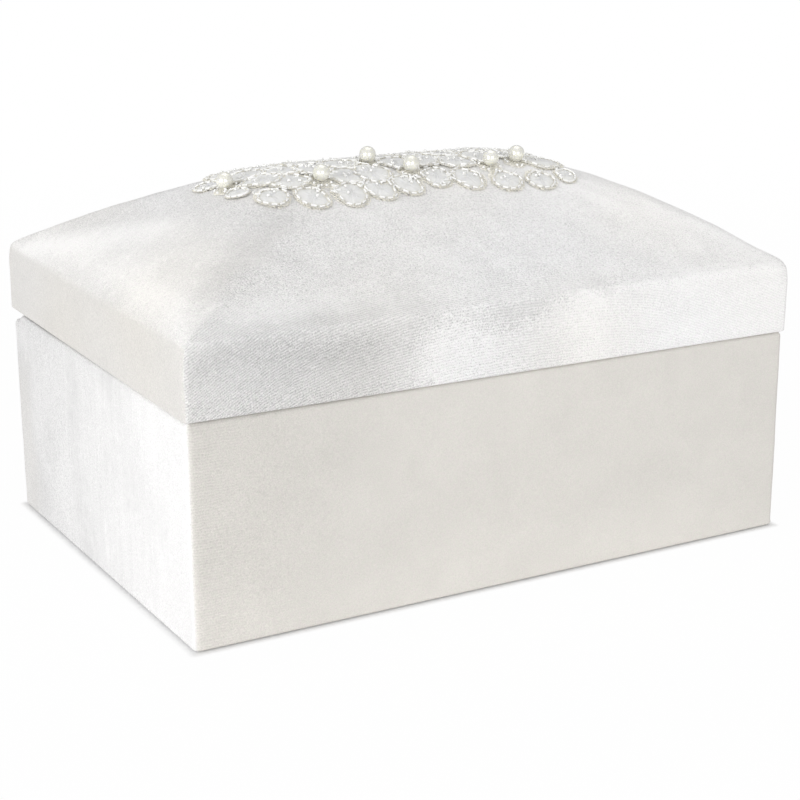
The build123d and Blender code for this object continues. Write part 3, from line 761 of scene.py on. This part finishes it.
def end_reach(z, inset):
    """Half length of the dome: rounded shoulder, then one arc that levels out at the crown."""
    radius = shoulder - inset
    arc = lid_half[0] - shoulder + root(radius**2 - (z - end_start) ** 2)
    dome = lid_half[0] - end_run + root((end_radius - inset) ** 2 - (z - end_centre) ** 2)
    below = np.where(z <= end_start, lid_half[0] - inset, arc)
    return np.where(z <= end_start + radius * end_sine, below, dome)


def hip_radius(z, inset):
    """Plan radius of the hip: it grows as the dome climbs, within the dome's own width."""
    return np.minimum(wall_corner - inset + 0.32 * np.maximum(z, 0), 0.92 * side_reach(z, inset))


def dome_rings(columns, shares, inset):
    """Rings of the dome in the lid's own frame, at shares of the way from its foot to its top."""
    z = dome_foot + (dome_rise - inset - dome_foot) * shares
    reaches = end_reach(z, inset), side_reach(z, inset), hip_radius(z, inset)
    return ring_grid(columns, *reaches, z + rim_height)


wad_inset = 0.0009
top_board_face = 0.02966
wad_shares = 1 - (1 - np.linspace(0, 1, 40)) ** 1.7
wad_grid = dome_rings(ring_template(60, 44, 6), wad_shares, wad_inset)
wad_grid[..., 2] = np.maximum(wad_grid[..., 2], top_board_face + hair)
under = [wad_grid[[0]] * [0.6, 0, 1], wad_grid[[0]] * [0.9, 0.9, 1]]
wad_grid = lid_place(np.concatenate([*under, wad_grid]))
wad = lofted_piece("lid_wadding", [wad_grid], "lid", wadding, ["lid_dome_wadding"])

# The velvet's rings run from the turned-in edge round the rim and up to the crown, and then back
# down along its glued face.
lid_velvet = velvet_cloth("crushed_velvet_lid", (0.12, 1, 1))
lid_columns = ring_template(176, 126, 16)
rim_soft = 0.0013
turned = [(board_inside, 0.0119), (0.0036, 0.012)]
turned += [(wall_thick, 0.0118), (wall_thick, 0.008), (wall_thick, 0.004)]
rim_inner = np.column_stack([wall_thick - rim_soft * easing, rim_soft * closing])
rim_outer = np.column_stack([rim_soft * closing, rim_soft * easing])
rim_wall = [(0, z) for z in np.linspace(0.003, rim_height + dome_foot - 0.0008, 15)]
inset, height = np.concatenate([turned, rim_inner, rim_outer, rim_wall]).T
rim_grid = wall_rings(lid_columns, lid_half, inset, height)
shoulder_shares, slope_shares = np.linspace(0, 0.1, 14), np.linspace(0.1, 0.86, 52)[1:]
crown_shares = 1 - np.linspace(0.374, 0, 26)[1:] ** 2
outer_shares = np.concatenate([shoulder_shares, slope_shares, crown_shares])
outer_grid = dome_rings(lid_columns, outer_shares, 0)
inner_shares = 1 - (1 - np.linspace(0, 1, 14)) ** 1.8
inner_grid = dome_rings(lid_columns, inner_shares, velvet_thick)[::-1]
inset = np.array([velvet_thick] * 3 + [board_inside])
inner_rim = wall_rings(lid_columns, lid_half, inset, [0.028, 0.015, 0.001, 0.0008])
lid_grid = np.concatenate([rim_grid, outer_grid, inner_grid, inner_rim])
shown = np.zeros((len(lid_grid), 1))
first_shown = len(turned) + len(rim_inner) + len(rim_outer) - 2
shown[first_shown : len(rim_grid) + len(outer_grid) - 4] = 1
drape = 0.00025 * ripple(lid_grid, 0.06, 31) + 0.00012 * ripple(lid_grid, 0.02, 32)
x, y, z = np.moveaxis(lid_grid, 2, 0)
up = z - rim_height
drape = np.abs(drape) * (0.35 + 0.65 * rise(up, 0, 0.006))
at_corner = rise(np.abs(x), 0.148, 0.1555) * rise(np.abs(y), 0.104, 0.1115)
softened = drape + 0.0011 * at_corner * bell(up, 0, 0.005)
lid_grid = relieved(lid_grid, -softened * shown)

# How bright the velvet is painted: the lie of the pile together with painted light and shade. up is
# the height above the rim's edge line. The hips part the sides, and the line of the two lists below
# is the top of a painted highlight along the front.
hip_gap = (lid_half[0] - np.abs(x)) - 1.25 * (lid_half[1] - np.abs(y))
hip_blur = 0.0007 + 0.0055 * rise(up, 0, 0.012)
on_end = rise(0.8 * hip_blur * ripple(lid_grid, 0.025, 55) - hip_gap, -hip_blur, hip_blur)
on_left = on_end * (x < 0) * (1 - 0.85 * rise(up, 0.024, 0.036))
on_front = (1 - on_end) * (y < 0)
on_rim = 1 - rise(up, -0.003, 0.002)
highlight_edge_x = np.array([-0.156, -0.052, -0.025, 0.0, 0.02, 0.046, 0.101, 0.144, 0.156])
highlight_edge_up = np.array([-0.006, -0.006, -0.007, -0.012, -0.003, 0.0013, 0.0029, 0.0041, 0.0045])
painted_highlight = np.minimum((np.interp(x, highlight_edge_x, highlight_edge_up) - up) / 0.005, (x + 0.047) / 0.010)
painted_highlight = np.where(on_front > 0.5, painted_highlight, nowhere)
# Painted shade on the front: a darker patch on the rim towards the left, and a small darker spot right
# of the middle.
dark = 1.2 - np.hypot((x + 0.092) / 0.05, (up + 0.006) / 0.0095)
dark_spot = 1.6 - np.hypot((x - 0.0485) / 0.0035, (up - 0.0005) / 0.0024)
dark = np.maximum(np.minimum(dark, (-0.046 - x) / 0.007), dark_spot)
dark = np.where(on_front > 0.5, dark, nowhere)

# Each patch on the front, painted light where its gain is above nought and painted shade where below,
# is its gain, its place and width along x, and its height and tallness.
front_light_patches = [
    (-0.18, -0.128, 0.02, -0.003, 0.005), (-0.14, -0.043, 0.008, -0.004, 0.007),
    (0.19, -0.1, 0.03, 0.0065, 0.004), (-0.16, -0.085, 0.018, 0.001, 0.003),
]
# Painted light and shade on the front: lighter towards the right and above the rim, darker over the rim
# from the middle rightwards except a lighter patch just right of the middle, and darker low on the rim
# at the left.
front_nap_and_light = 0.16 * rise(x, -0.1, 0.02) + 0.24 * bell(x, 0.039, 0.016) * on_rim
front_nap_and_light -= (0.38 - 0.2 * rise(x, 0.03, 0.1)) * on_rim * rise(x, -0.05, 0.02)
front_nap_and_light += (0.03 + 0.04 * ripple(lid_grid, 0.02, 57)) * rise(up, -0.002, 0.004)
front_nap_and_light -= 0.34 * rise(-up, -0.002, 0.012) * (rise(-x, 0.03, 0.08) - 0.3 * rise(-x, 0.1, 0.14))
for gain, across, wide, high, tall in front_light_patches:
    front_nap_and_light += gain * bell(x, across, wide) * bell(up, high, tall)
nap_and_light = 0.66 + 0.03 * ripple(lid_grid, 0.07, 53) + on_front * front_nap_and_light
# Painted light on the right slope and along its hips, which face away from the lamps.
nap_and_light += (0.3 * on_end + 0.14 * bell(hip_gap, 0, 0.022)) * (x > 0) * rise(up, 0, 0.01)
# Painted light and shade on the left slope: two bands of painted highlight, painted shade above the
# upper one, a small lighter and a small darker patch towards the front, and on the rim a plain level,
# darker at its rounded front corner.
upper_line = 0.008 + 0.26 * (0.057 - y)
past_line = rise(up - upper_line, 0.003, 0.009)
upper_highlight = bell(up, upper_line, 0.0055) * rise(y, -0.035, 0) * (1 - rise(up, 0.027, 0.034))
lower_highlight = bell(up, 0.008, 0.0055) * (y < 0.09) * (0.65 + 0.4 * rise(-y, 0.0, 0.09))
left_nap_and_light = 0.66 + 0.26 * upper_highlight + 0.28 * lower_highlight - 0.10 * past_line
left_nap_and_light += 0.03 * ripple(lid_grid, 0.03, 56)
left_nap_and_light += 0.12 * bell(y, -0.03, 0.02) * bell(up, 0.013, 0.006)
left_nap_and_light -= 0.12 * bell(y, -0.03, 0.03) * bell(up, -0.001, 0.003)
left_nap_and_light += on_rim * (0.41 + 0.03 * rise(-y, -0.05, 0.1) - left_nap_and_light)
left_nap_and_light -= 0.14 * on_rim * rise(-y, 0.1085, 0.1115)
nap_and_light += on_left * (left_nap_and_light - nap_and_light)
# Painted shade along the near left hip, on the slope above the rim.
near_hip = (x < 0) * (y < 0) * rise(up, 0.001, 0.009) * (1 - rise(up, 0.03, 0.04))
nap_and_light -= 0.24 * bell(hip_gap, -0.008, 0.014) * near_hip
woven = on_front * rise(-up, -0.014, 0.0)
rib = 0.85 * woven * (1 - 0.65 * rise(x, -0.02, 0.05)) + 0.16 * on_front
grain = 0.82 - 0.33 * on_rim * rise(x, -0.03, 0.02) * on_front - 0.2 * rise(x, 0.02, 0.12)
grain += on_left * (0.44 + 0.2 * past_line - 0.2 * on_rim - grain)
grain -= 0.26 * woven * (1 - rise(x, -0.06, 0.0))

# The rows of the ground weave climb along the front by row_slope, summed up to row_height.
x_line = np.linspace(-0.16, 0.16, 400)
row_slope = 0.62 - 0.45 * rise(x_line, -0.15, -0.06) - 0.17 * rise(x_line, -0.06, 0.0)
row_slope -= 0.4 * rise(x_line, 0.03, 0.11)
row_steps = (row_slope[1:] + row_slope[:-1]) / 2 * np.diff(x_line)
row_height = np.concatenate([[0], np.cumsum(row_steps)])
ribline = (z + 1.2 * np.maximum(up, 0) - np.interp(x, x_line, row_height)) / rib_pitch
streak = 0.05 + 0.1 * on_front + 0.3 * on_left * (1 - on_rim)
warm = 0.16 + 0.12 * rise(-x, 0.03, 0.1) * on_front + on_left * (0.25 + 0.32 * on_rim)
warm = np.clip(warm + 0.12 * ripple(lid_grid, 0.08, 54), 0, 1)
marks = {
    "nap_and_light": [nap_and_light], "grain": [grain], "painted_highlight": [painted_highlight], "dark": [dark],
    "rib": [rib], "ribline": [ribline], "streak": [streak], "warm": [warm],
}
lid_grid, cover = lid_place(lid_grid), ["lid_velvet_cover"]
lofted_piece("lid_velvet", [lid_grid], "lid", lid_velvet, cover, loop=True, marks=marks)

# Lace: a hexagon net ground cut round its motifs, glued to the crown. Its places are in
# millimetres in the lid's plan, x to the right and y to the back, and everything follows the dome.
pearl_spots = [(-88, -5.5), (-49.5, -22.5), (-16, -6), (-1.5, -21), (42, -22), (58, -20)]
plain_hearts = [(-61, 27), (-14.5, 37), (30, 33), (66, 38)]
petal_spots = [
    (-77.5, -30.5), (-59, -34), (-40, -34), (-23.5, -32), (-8.5, -31), (9, -27), (25, -30.5),
    (44, -34.5), (62, -36.5), (77.5, -35), (-88, -16.5), (-73.5, -10.5), (-63, -19), (-46, -9),
    (-34.5, -19.5), (-21, -18.5), (-2, -8), (13, -8.5), (27.5, -13), (42, -9.5), (56.5, -6),
    (72, -20), (71, -5), (-30, -4), (-91, 9.5), (-75, 4), (-60, -2), (-45, 6), (-31, 11),
    (-16.5, 8.5), (-1, 7), (14, 7), (29, 3), (44, 5.5), (59, 9), (76, 10), (-62, 13), (-77, 19),
    (-47, 21), (-32, 26), (-17, 24), (-2, 22), (13, 22), (28, 18), (43, 20), (58, 25), (73, 25),
]
spots_mm = (pearl_spots, plain_hearts, petal_spots)
pearl_spots, plain_hearts, petal_spots = (np.array(spots) / 1000 for spots in spots_mm)
hearts = np.concatenate([pearl_spots, plain_hearts])
petal_numbers = np.arange(len(petal_spots))


def dome_height(x, y):
    """Height of the velvet above the rim's edge line at places in plan, by halving the interval."""
    low, high = np.zeros(np.shape(x)), np.full(np.shape(x), dome_rise)
    for _ in range(26):
        z = (low + high) / 2
        radius = hip_radius(z, 0)
        over_x = np.maximum(np.abs(x) - (end_reach(z, 0) - radius), 0)
        over_y = np.maximum(np.abs(y) - (side_reach(z, 0) - radius), 0)
        inside = np.hypot(over_x, over_y) <= radius
        low, high = np.where(inside, z, low), np.where(inside, high, z)
    return (low + high) / 2


def on_lid(places, lift):
    """Points that lie lift above the velvet, square to it, over places in the lid's plan."""
    probe = 0.0008
    x, y = places[..., 0], places[..., 1]
    fall_x = (dome_height(x + probe, y) - dome_height(x - probe, y)) / (2 * probe)
    fall_y = (dome_height(x, y + probe) - dome_height(x, y - probe)) / (2 * probe)
    normal = unit(np.stack([-fall_x, -fall_y, np.ones(np.shape(x))], -1))
    local = np.stack([x, y, dome_height(x, y) + rim_height], -1)
    return lid_place(local + normal * np.asarray(lift)[..., None])


net_thread, tree, shader, place = new_finish("net_thread", 0.6)
twist = noise_value(tree, place, 2500, 2)
dyed(tree, shader, twist, [(0.3, (0.88, 0.85, 0.74)), (0.7, (0.95, 0.93, 0.85))])
bump_normal(tree, shader, twist, 0.00005)
net_pitch = 0.0016
net_strand = 0.00018
net_lift = 0.00035
net_reach = 0.0086
pearl_share = 0.7
net_rows, net_columns = np.arange(-60, 60), np.arange(-110, 110)
row, column = map(np.ravel, np.meshgrid(net_rows, net_columns))
knots = np.column_stack([(column + 0.5 * (row % 2)) * net_pitch, row * net_pitch * 0.866])
spokes = np.array([(0, 1), (-0.866, -0.5), (0.866, -0.5)]) * net_pitch / math.sqrt(3)
strand_from = np.repeat(knots, len(spokes), 0)
strand_to = strand_from + np.tile(spokes, (len(knots), 1))
strand_middle = (strand_from + strand_to) / 2
petal_share = np.ones(len(petal_spots))
petal_share[[8, 9, 10, 24]] = [0.85, 0.7, 0.62, 0.6]
petal_share *= np.random.default_rng(3).uniform(0.98, 1.14, len(petal_spots))
motifs = np.concatenate([petal_spots, pearl_spots])
motif_shares = np.concatenate([petal_share, np.full(len(pearl_spots), pearl_share)])
from_motifs = np.linalg.norm(strand_middle[:, None] - motifs, axis=2)
kept = (from_motifs < net_reach * motif_shares).any(1)
strand_from, strand_to = strand_from[kept], strand_to[kept]


def thread_piece(name, starts, ends, lifts, radius, slot, finish, stands_for=()):
    """Three-sided straight threads over the dome, from and to places in plan at their lifts."""
    way = unit(ends - starts)
    sideways = np.column_stack([-way[:, 1], way[:, 0]])
    points = []
    for end, lift in zip((starts, ends), lifts):
        for across, upward in ((0, 1), (-0.87, -0.5), (0.87, -0.5)):
            points.append(on_lid(end + sideways * across * radius, lift + upward * radius))
    points = np.stack(points, 1).reshape(-1, 3)
    first = np.arange(len(starts))[:, None] * 6
    faces = [first + np.array([i, (i + 1) % 3, 3 + (i + 1) % 3, 3 + i]) for i in range(3)]
    mesh = bpy.data.meshes.new(name)
    mesh.from_pydata(points.tolist(), [], np.concatenate(faces).tolist())
    settled(name, mesh, finish, "lid", stands_for)


net_lifts, net = (net_lift, net_lift), ["applique_net"]
thread_piece("lace_net", strand_from, strand_to, net_lifts, net_strand, "lace_net", net_thread, net)

# Petals: padded with thread and covered in satin stitch from a middle vein, laid in two levels so
# that they overlap a little like scales, each with its root towards a pearl or a plain heart.
petal_length = 0.0105
petal_width = 0.0086
nearest = np.linalg.norm(petal_spots[:, None] - hearts, axis=2).argmin(1)
outward = petal_spots - hearts[nearest]
petal_way = np.arctan2(outward[:, 1], outward[:, 0])
petal_way += np.random.default_rng(4).normal(0, 0.2, len(petal_spots))
in_front = petal_numbers < 10
petal_level = np.where(in_front, 0.0004, 0.0005 + 0.0003 * (petal_numbers % 2))
foreshort = np.where(in_front, 0.72, 1)


def petal_plan(ring, angle):
    """Teardrop: an ellipse round the middle, pinched towards the root where its cosine is -1."""
    pinch = 1 - 0.62 * np.clip(-np.cos(angle), 0, 1) ** 1.6
    return ring * petal_length * np.cos(angle), ring * petal_width * np.sin(angle) * pinch


def petal_places(number, plan):
    """Places in the lid's plan of points in one petal's own plan, along and across it."""
    along, across = plan[0] * foreshort[number] * petal_share[number], plan[1] * petal_share[number]
    cos_way, sin_way = math.cos(petal_way[number]), math.sin(petal_way[number])
    turned = [along * cos_way - across * sin_way, along * sin_way + across * cos_way]
    return petal_spots[number] + np.stack(turned, -1)


stitch, tree, shader, place = new_finish(
    "satin_stitch", 0.38, Sheen_Weight=0.2, Coat_Weight=0.5, Coat_Roughness=0.2,
    Subsurface_Weight=0.6, Subsurface_Radius=(1, 1, 0.9), Subsurface_Scale=0.002,
)
threads = noise_value(tree, place, 1300, 3, 0.6, 0.5)
cloth_way = shader_node(tree, "ShaderNodeTexCoord").outputs["UV"]
fan = wave_value(tree, cloth_way, 300, 2.5)
threads = weighted(tree, fan, 0.6, threads, 0.4)
# Towards each petal's edge the colour turns darker and more cream: painted shade where the padded
# stitch curves down, together with the cream of the thread.
shade = shader_node(tree, "ShaderNodeAttribute", attribute_name="edge").outputs["Fac"]
stitch_whites = [(0.1, (0.97, 0.97, 0.94)), (0.4, (0.92, 0.915, 0.86)), (0.9, (0.87, 0.84, 0.73))]
dyed(tree, shader, weighted(tree, threads, 0.5, shade, 0.5), stitch_whites)
bump_normal(tree, shader, threads, 0.00012)

# Rings from the petal's middle to its edge and back under it: share of its size, and height.
petal_rings = [
    (0.0, 0.0007), (0.22, 0.0007), (0.42, 0.00066), (0.6, 0.00058), (0.76, 0.00045),
    (0.88, 0.00028), (0.95, 0.0001), (0.98, -0.0001), (0.93, -0.0003), (0.5, -0.0003), (0.0, -0.0003),
]
top_rings = 7
stitch_pitch = 0.0016
ring_shares, ring_heights = np.array(petal_rings).T[..., None]
angles = np.linspace(0, 2 * math.pi, 44, endpoint=False)
plan = along, across = petal_plan(ring_shares, angles)
relief = 0.00012 * np.cos((along * 0.75 + np.abs(across)) * 2 * math.pi / stitch_pitch)
relief -= 0.0002 * bell(across, 0, 0.0007)
relief[top_rings:] = 0
relief += ring_heights
petal_grids = [
    on_lid(petal_places(number, plan), np.maximum(petal_level[number] + relief, 0.0003))
    for number in petal_numbers
]
marks = {"edge": [np.broadcast_to(ring_shares**3, along.shape)] * len(petal_grids)}
petals = ["applique_petals"]
lofted_piece("lace_petals", petal_grids, "lid", stitch, petals, marks=marks)

# Cord: a fine twisted cord is couched round every petal and stands up as its rim.
cord, tree, shader, place = new_finish(
    "couched_cord", 0.35, Coat_Weight=0.4, Subsurface_Weight=0.6,
    Subsurface_Radius=(1, 1, 0.8), Subsurface_Scale=0.0015,
)
cord_way = shader_node(tree, "ShaderNodeTexCoord").outputs["UV"]
ply = wave_value(tree, cord_way, 420, bands_direction="DIAGONAL")
dyed(tree, shader, ply, [(0.1, (0.82, 0.785, 0.66)), (0.9, (0.92, 0.90, 0.82))])
bump_normal(tree, shader, ply, 0.0001)
cord_radius = 0.00024
cord_twists = 24
cord_share = 0.97
around = np.linspace(0, 2 * math.pi, 7, endpoint=False)
cord_turns = np.linspace(0, 2 * math.pi, 49)[:-1, None]
swell = cord_radius * (1 + 0.16 * np.sin(cord_turns * cord_twists))
plan = petal_plan((1 + swell * np.cos(around) / petal_length) * cord_share, cord_turns)
lift = 0.00015 + swell * np.sin(around)
cord_grids = [
    on_lid(petal_places(number, plan), np.maximum(petal_level[number] + lift, 0.0001))
    for number in petal_numbers
]
lofted_piece("lace_cords", cord_grids, "lid", cord, loop=True)

# Fringe: the cord's couching stitches, short threads laid across the edge of every petal.
draw = np.random.default_rng(8)
fringe_count = 72
fringe_radius = 0.00016
fringe_starts, fringe_ends = [], []
for number in petal_numbers:
    turns = np.linspace(0, 2 * math.pi, fringe_count, endpoint=False)
    turns += draw.uniform(-0.03, 0.03, fringe_count)
    inner, outer = (draw.uniform(*reach, fringe_count) for reach in ((0.74, 0.86), (1.02, 1.10)))
    for found, share, skew in ((fringe_starts, inner, 0), (fringe_ends, outer, 0.05)):
        plan = petal_plan(share, turns + skew * draw.uniform(-1, 1, fringe_count))
        found.append(petal_places(number, plan))
threads = np.concatenate(fringe_starts), np.concatenate(fringe_ends)
fringe_levels = np.repeat(petal_level, fringe_count)
fringe_lifts = (fringe_levels + 0.0006, fringe_levels + 0.0001)
thread_piece("lace_fringe", *threads, fringe_lifts, fringe_radius, "lace_thread", cord)

# Beads: bugle beads end to end on the petals' tips, and seed beads scattered round the hearts.
# Both are clear glass lined with silver.
glass, tree, shader, place = new_finish(
    "silver_lined_glass", 0.08, Metallic=0.1, Coat_Weight=1, Coat_Roughness=0.05
)
flaws = noise_value(tree, place, 700, 2)
dyed(tree, shader, flaws, [(0.3, (0.96, 0.96, 0.94)), (0.7, (0.985, 0.985, 0.98))])
bump_normal(tree, shader, flaws, 0.00004)


def upright(places, lift):
    """Points lift above the velvet over places in the lid's plan, and the unit ways up there."""
    centres = on_lid(places, lift)
    return centres, unit(on_lid(places, lift + 0.001) - centres)


def turned_grids(centres, ways, ups, profile, sides):
    """Grids of turned shapes: the profile's points, each given by its place along the shape's own
    way and its distance from that axis, are carried round it."""
    angle = np.linspace(0, 2 * math.pi, sides, endpoint=False)[:, None]
    grids = []
    for centre, way, upward in zip(centres, ways, ups):
        ring = np.cos(angle) * upward + np.sin(angle) * np.cross(way, upward)
        grids.append(centre + profile[:, :1, None] * way + profile[:, 1:, None] * ring)
    return grids


def bead_profile(half_length, radius, hole):
    """Profile of a drilled bead with softened ends; the hole is a share of the radius."""
    profile = [(-1, hole), (-1, 0.9), (-0.86, 1), (0.86, 1), (1, 0.9), (1, hole)]
    return np.array(profile) * [half_length, radius]


bugle_count = 12
bugle_share = 0.88
loose_lift = 0.0010
bead_spots, bead_aheads, bead_lifts = [], [], []
for number in petal_numbers:
    turns = (np.arange(bugle_count) + 0.5 * (number % 3)) * 2 * math.pi / bugle_count
    bead_spots.append(petal_places(number, petal_plan(bugle_share, turns)))
    bead_aheads.append(petal_places(number, petal_plan(bugle_share, turns + 0.05)))
    bead_lifts.append(np.full(bugle_count, petal_level[number] + 0.00062))
loose = np.random.default_rng(6)
gap_spots = loose.uniform((-0.084, -0.034), (0.08, 0.034), (900, 2))
from_petal = np.linalg.norm(gap_spots[:, None] - petal_spots, axis=2).min(1)
from_pearl = np.linalg.norm(gap_spots[:, None] - pearl_spots, axis=2).min(1)
clear = (from_petal > 0.0052) & (from_petal < 0.0088) & (from_pearl > 0.005)
gap_spots = gap_spots[clear][:220]
gap_ways = loose.normal(0, 0.5, len(gap_spots))
gap_steps = np.column_stack([np.cos(gap_ways), np.sin(gap_ways)]) * 0.0005
bead_spots = np.concatenate([*bead_spots, gap_spots])
bead_aheads = np.concatenate([*bead_aheads, gap_spots + gap_steps])
bead_lifts = np.concatenate([*bead_lifts, np.full(len(gap_spots), loose_lift)])
centres, ups = upright(bead_spots, bead_lifts)
ways = unit(on_lid(bead_aheads, bead_lifts) - centres)
ups = unit(ups - ways * (ups * ways).sum(1, keepdims=True))
bugles = turned_grids(centres, ways, ups, bead_profile(0.0013, 0.0005, 0.45), 6)
bugle_nodes = ["applique_bugle_beads"]
lofted_piece("bugle_beads", bugles, "lid", glass, bugle_nodes, loop=True, smooth=False)

draw = np.random.default_rng(5)
heart_seeds, petal_seeds = 9, 3
seed_turns = np.arange(heart_seeds) * 2 * math.pi / heart_seeds
seed_turns = seed_turns + draw.uniform(-0.2, 0.2, (len(hearts), heart_seeds))
round_hearts = hearts[:, None] + 0.0052 * np.stack([np.cos(seed_turns), np.sin(seed_turns)], -1)
least, most = (-0.006, -0.003, -0.003), (0.001, 0.003, 0.003)
strays = draw.uniform(least, most, (len(petal_spots), petal_seeds, 3))
seed_ways = np.column_stack([np.cos(petal_way), np.sin(petal_way)])[:, None]
on_petals = petal_spots[:, None] + seed_ways * strays[..., :1] + strays[..., 1:]
seed_spots = np.concatenate([round_hearts.reshape(-1, 2), on_petals.reshape(-1, 2)])
seed_lifts = [np.full(seed_turns.size, 0.0013), np.repeat(petal_level + 0.0012, petal_seeds)]
centres, ups = upright(seed_spots, np.concatenate(seed_lifts))
ways = unit(np.cross(ups, draw.normal(size=ups.shape)))
seeds = turned_grids(centres, ways, ups, bead_profile(0.0005, 0.0006, 0.4), 7)
lofted_piece("seed_beads", seeds, "lid", glass, loop=True)

# Pearls: 8 mm imitation pearls, drilled through and sewn to the net, in the six places where the
# photograph shows them.
pearl_skin, tree, shader, place = new_finish(
    "pearl_lacquer", 0.2, Coat_Weight=1, Coat_Roughness=0.04, Metallic=0.4,
    Subsurface_Weight=0.4, Subsurface_Radius=(1, 1, 0.8), Subsurface_Scale=0.002,
)
nacre = noise_value(tree, place, 160, 3, 0.5, 0.6)
dyed(tree, shader, nacre, [(0.3, (0.86, 0.85, 0.77)), (0.7, (0.90, 0.89, 0.83))])
bump_normal(tree, shader, nacre, 0.000006)
pearl_radius = 0.004
hole_radius = 0.0004
pearl_lift = 0.0047
drilled = math.asin(hole_radius / pearl_radius)
polar = np.linspace(drilled, math.pi - drilled, 25)
bore = 0.98 * pearl_radius / 3
profile = pearl_radius * np.column_stack([np.cos(polar), np.sin(polar)])
profile = np.concatenate([profile, [(bore, hole_radius), (-bore, hole_radius)]])
centres, ups = upright(pearl_spots, pearl_lift)
ways = unit(np.cross(ups, [0.3, 1, 0.2]))
pearls = turned_grids(centres, ways, ups, profile, 32)
lofted_piece("pearls", pearls, "lid", pearl_skin, ["applique_pearls"], loop=True)
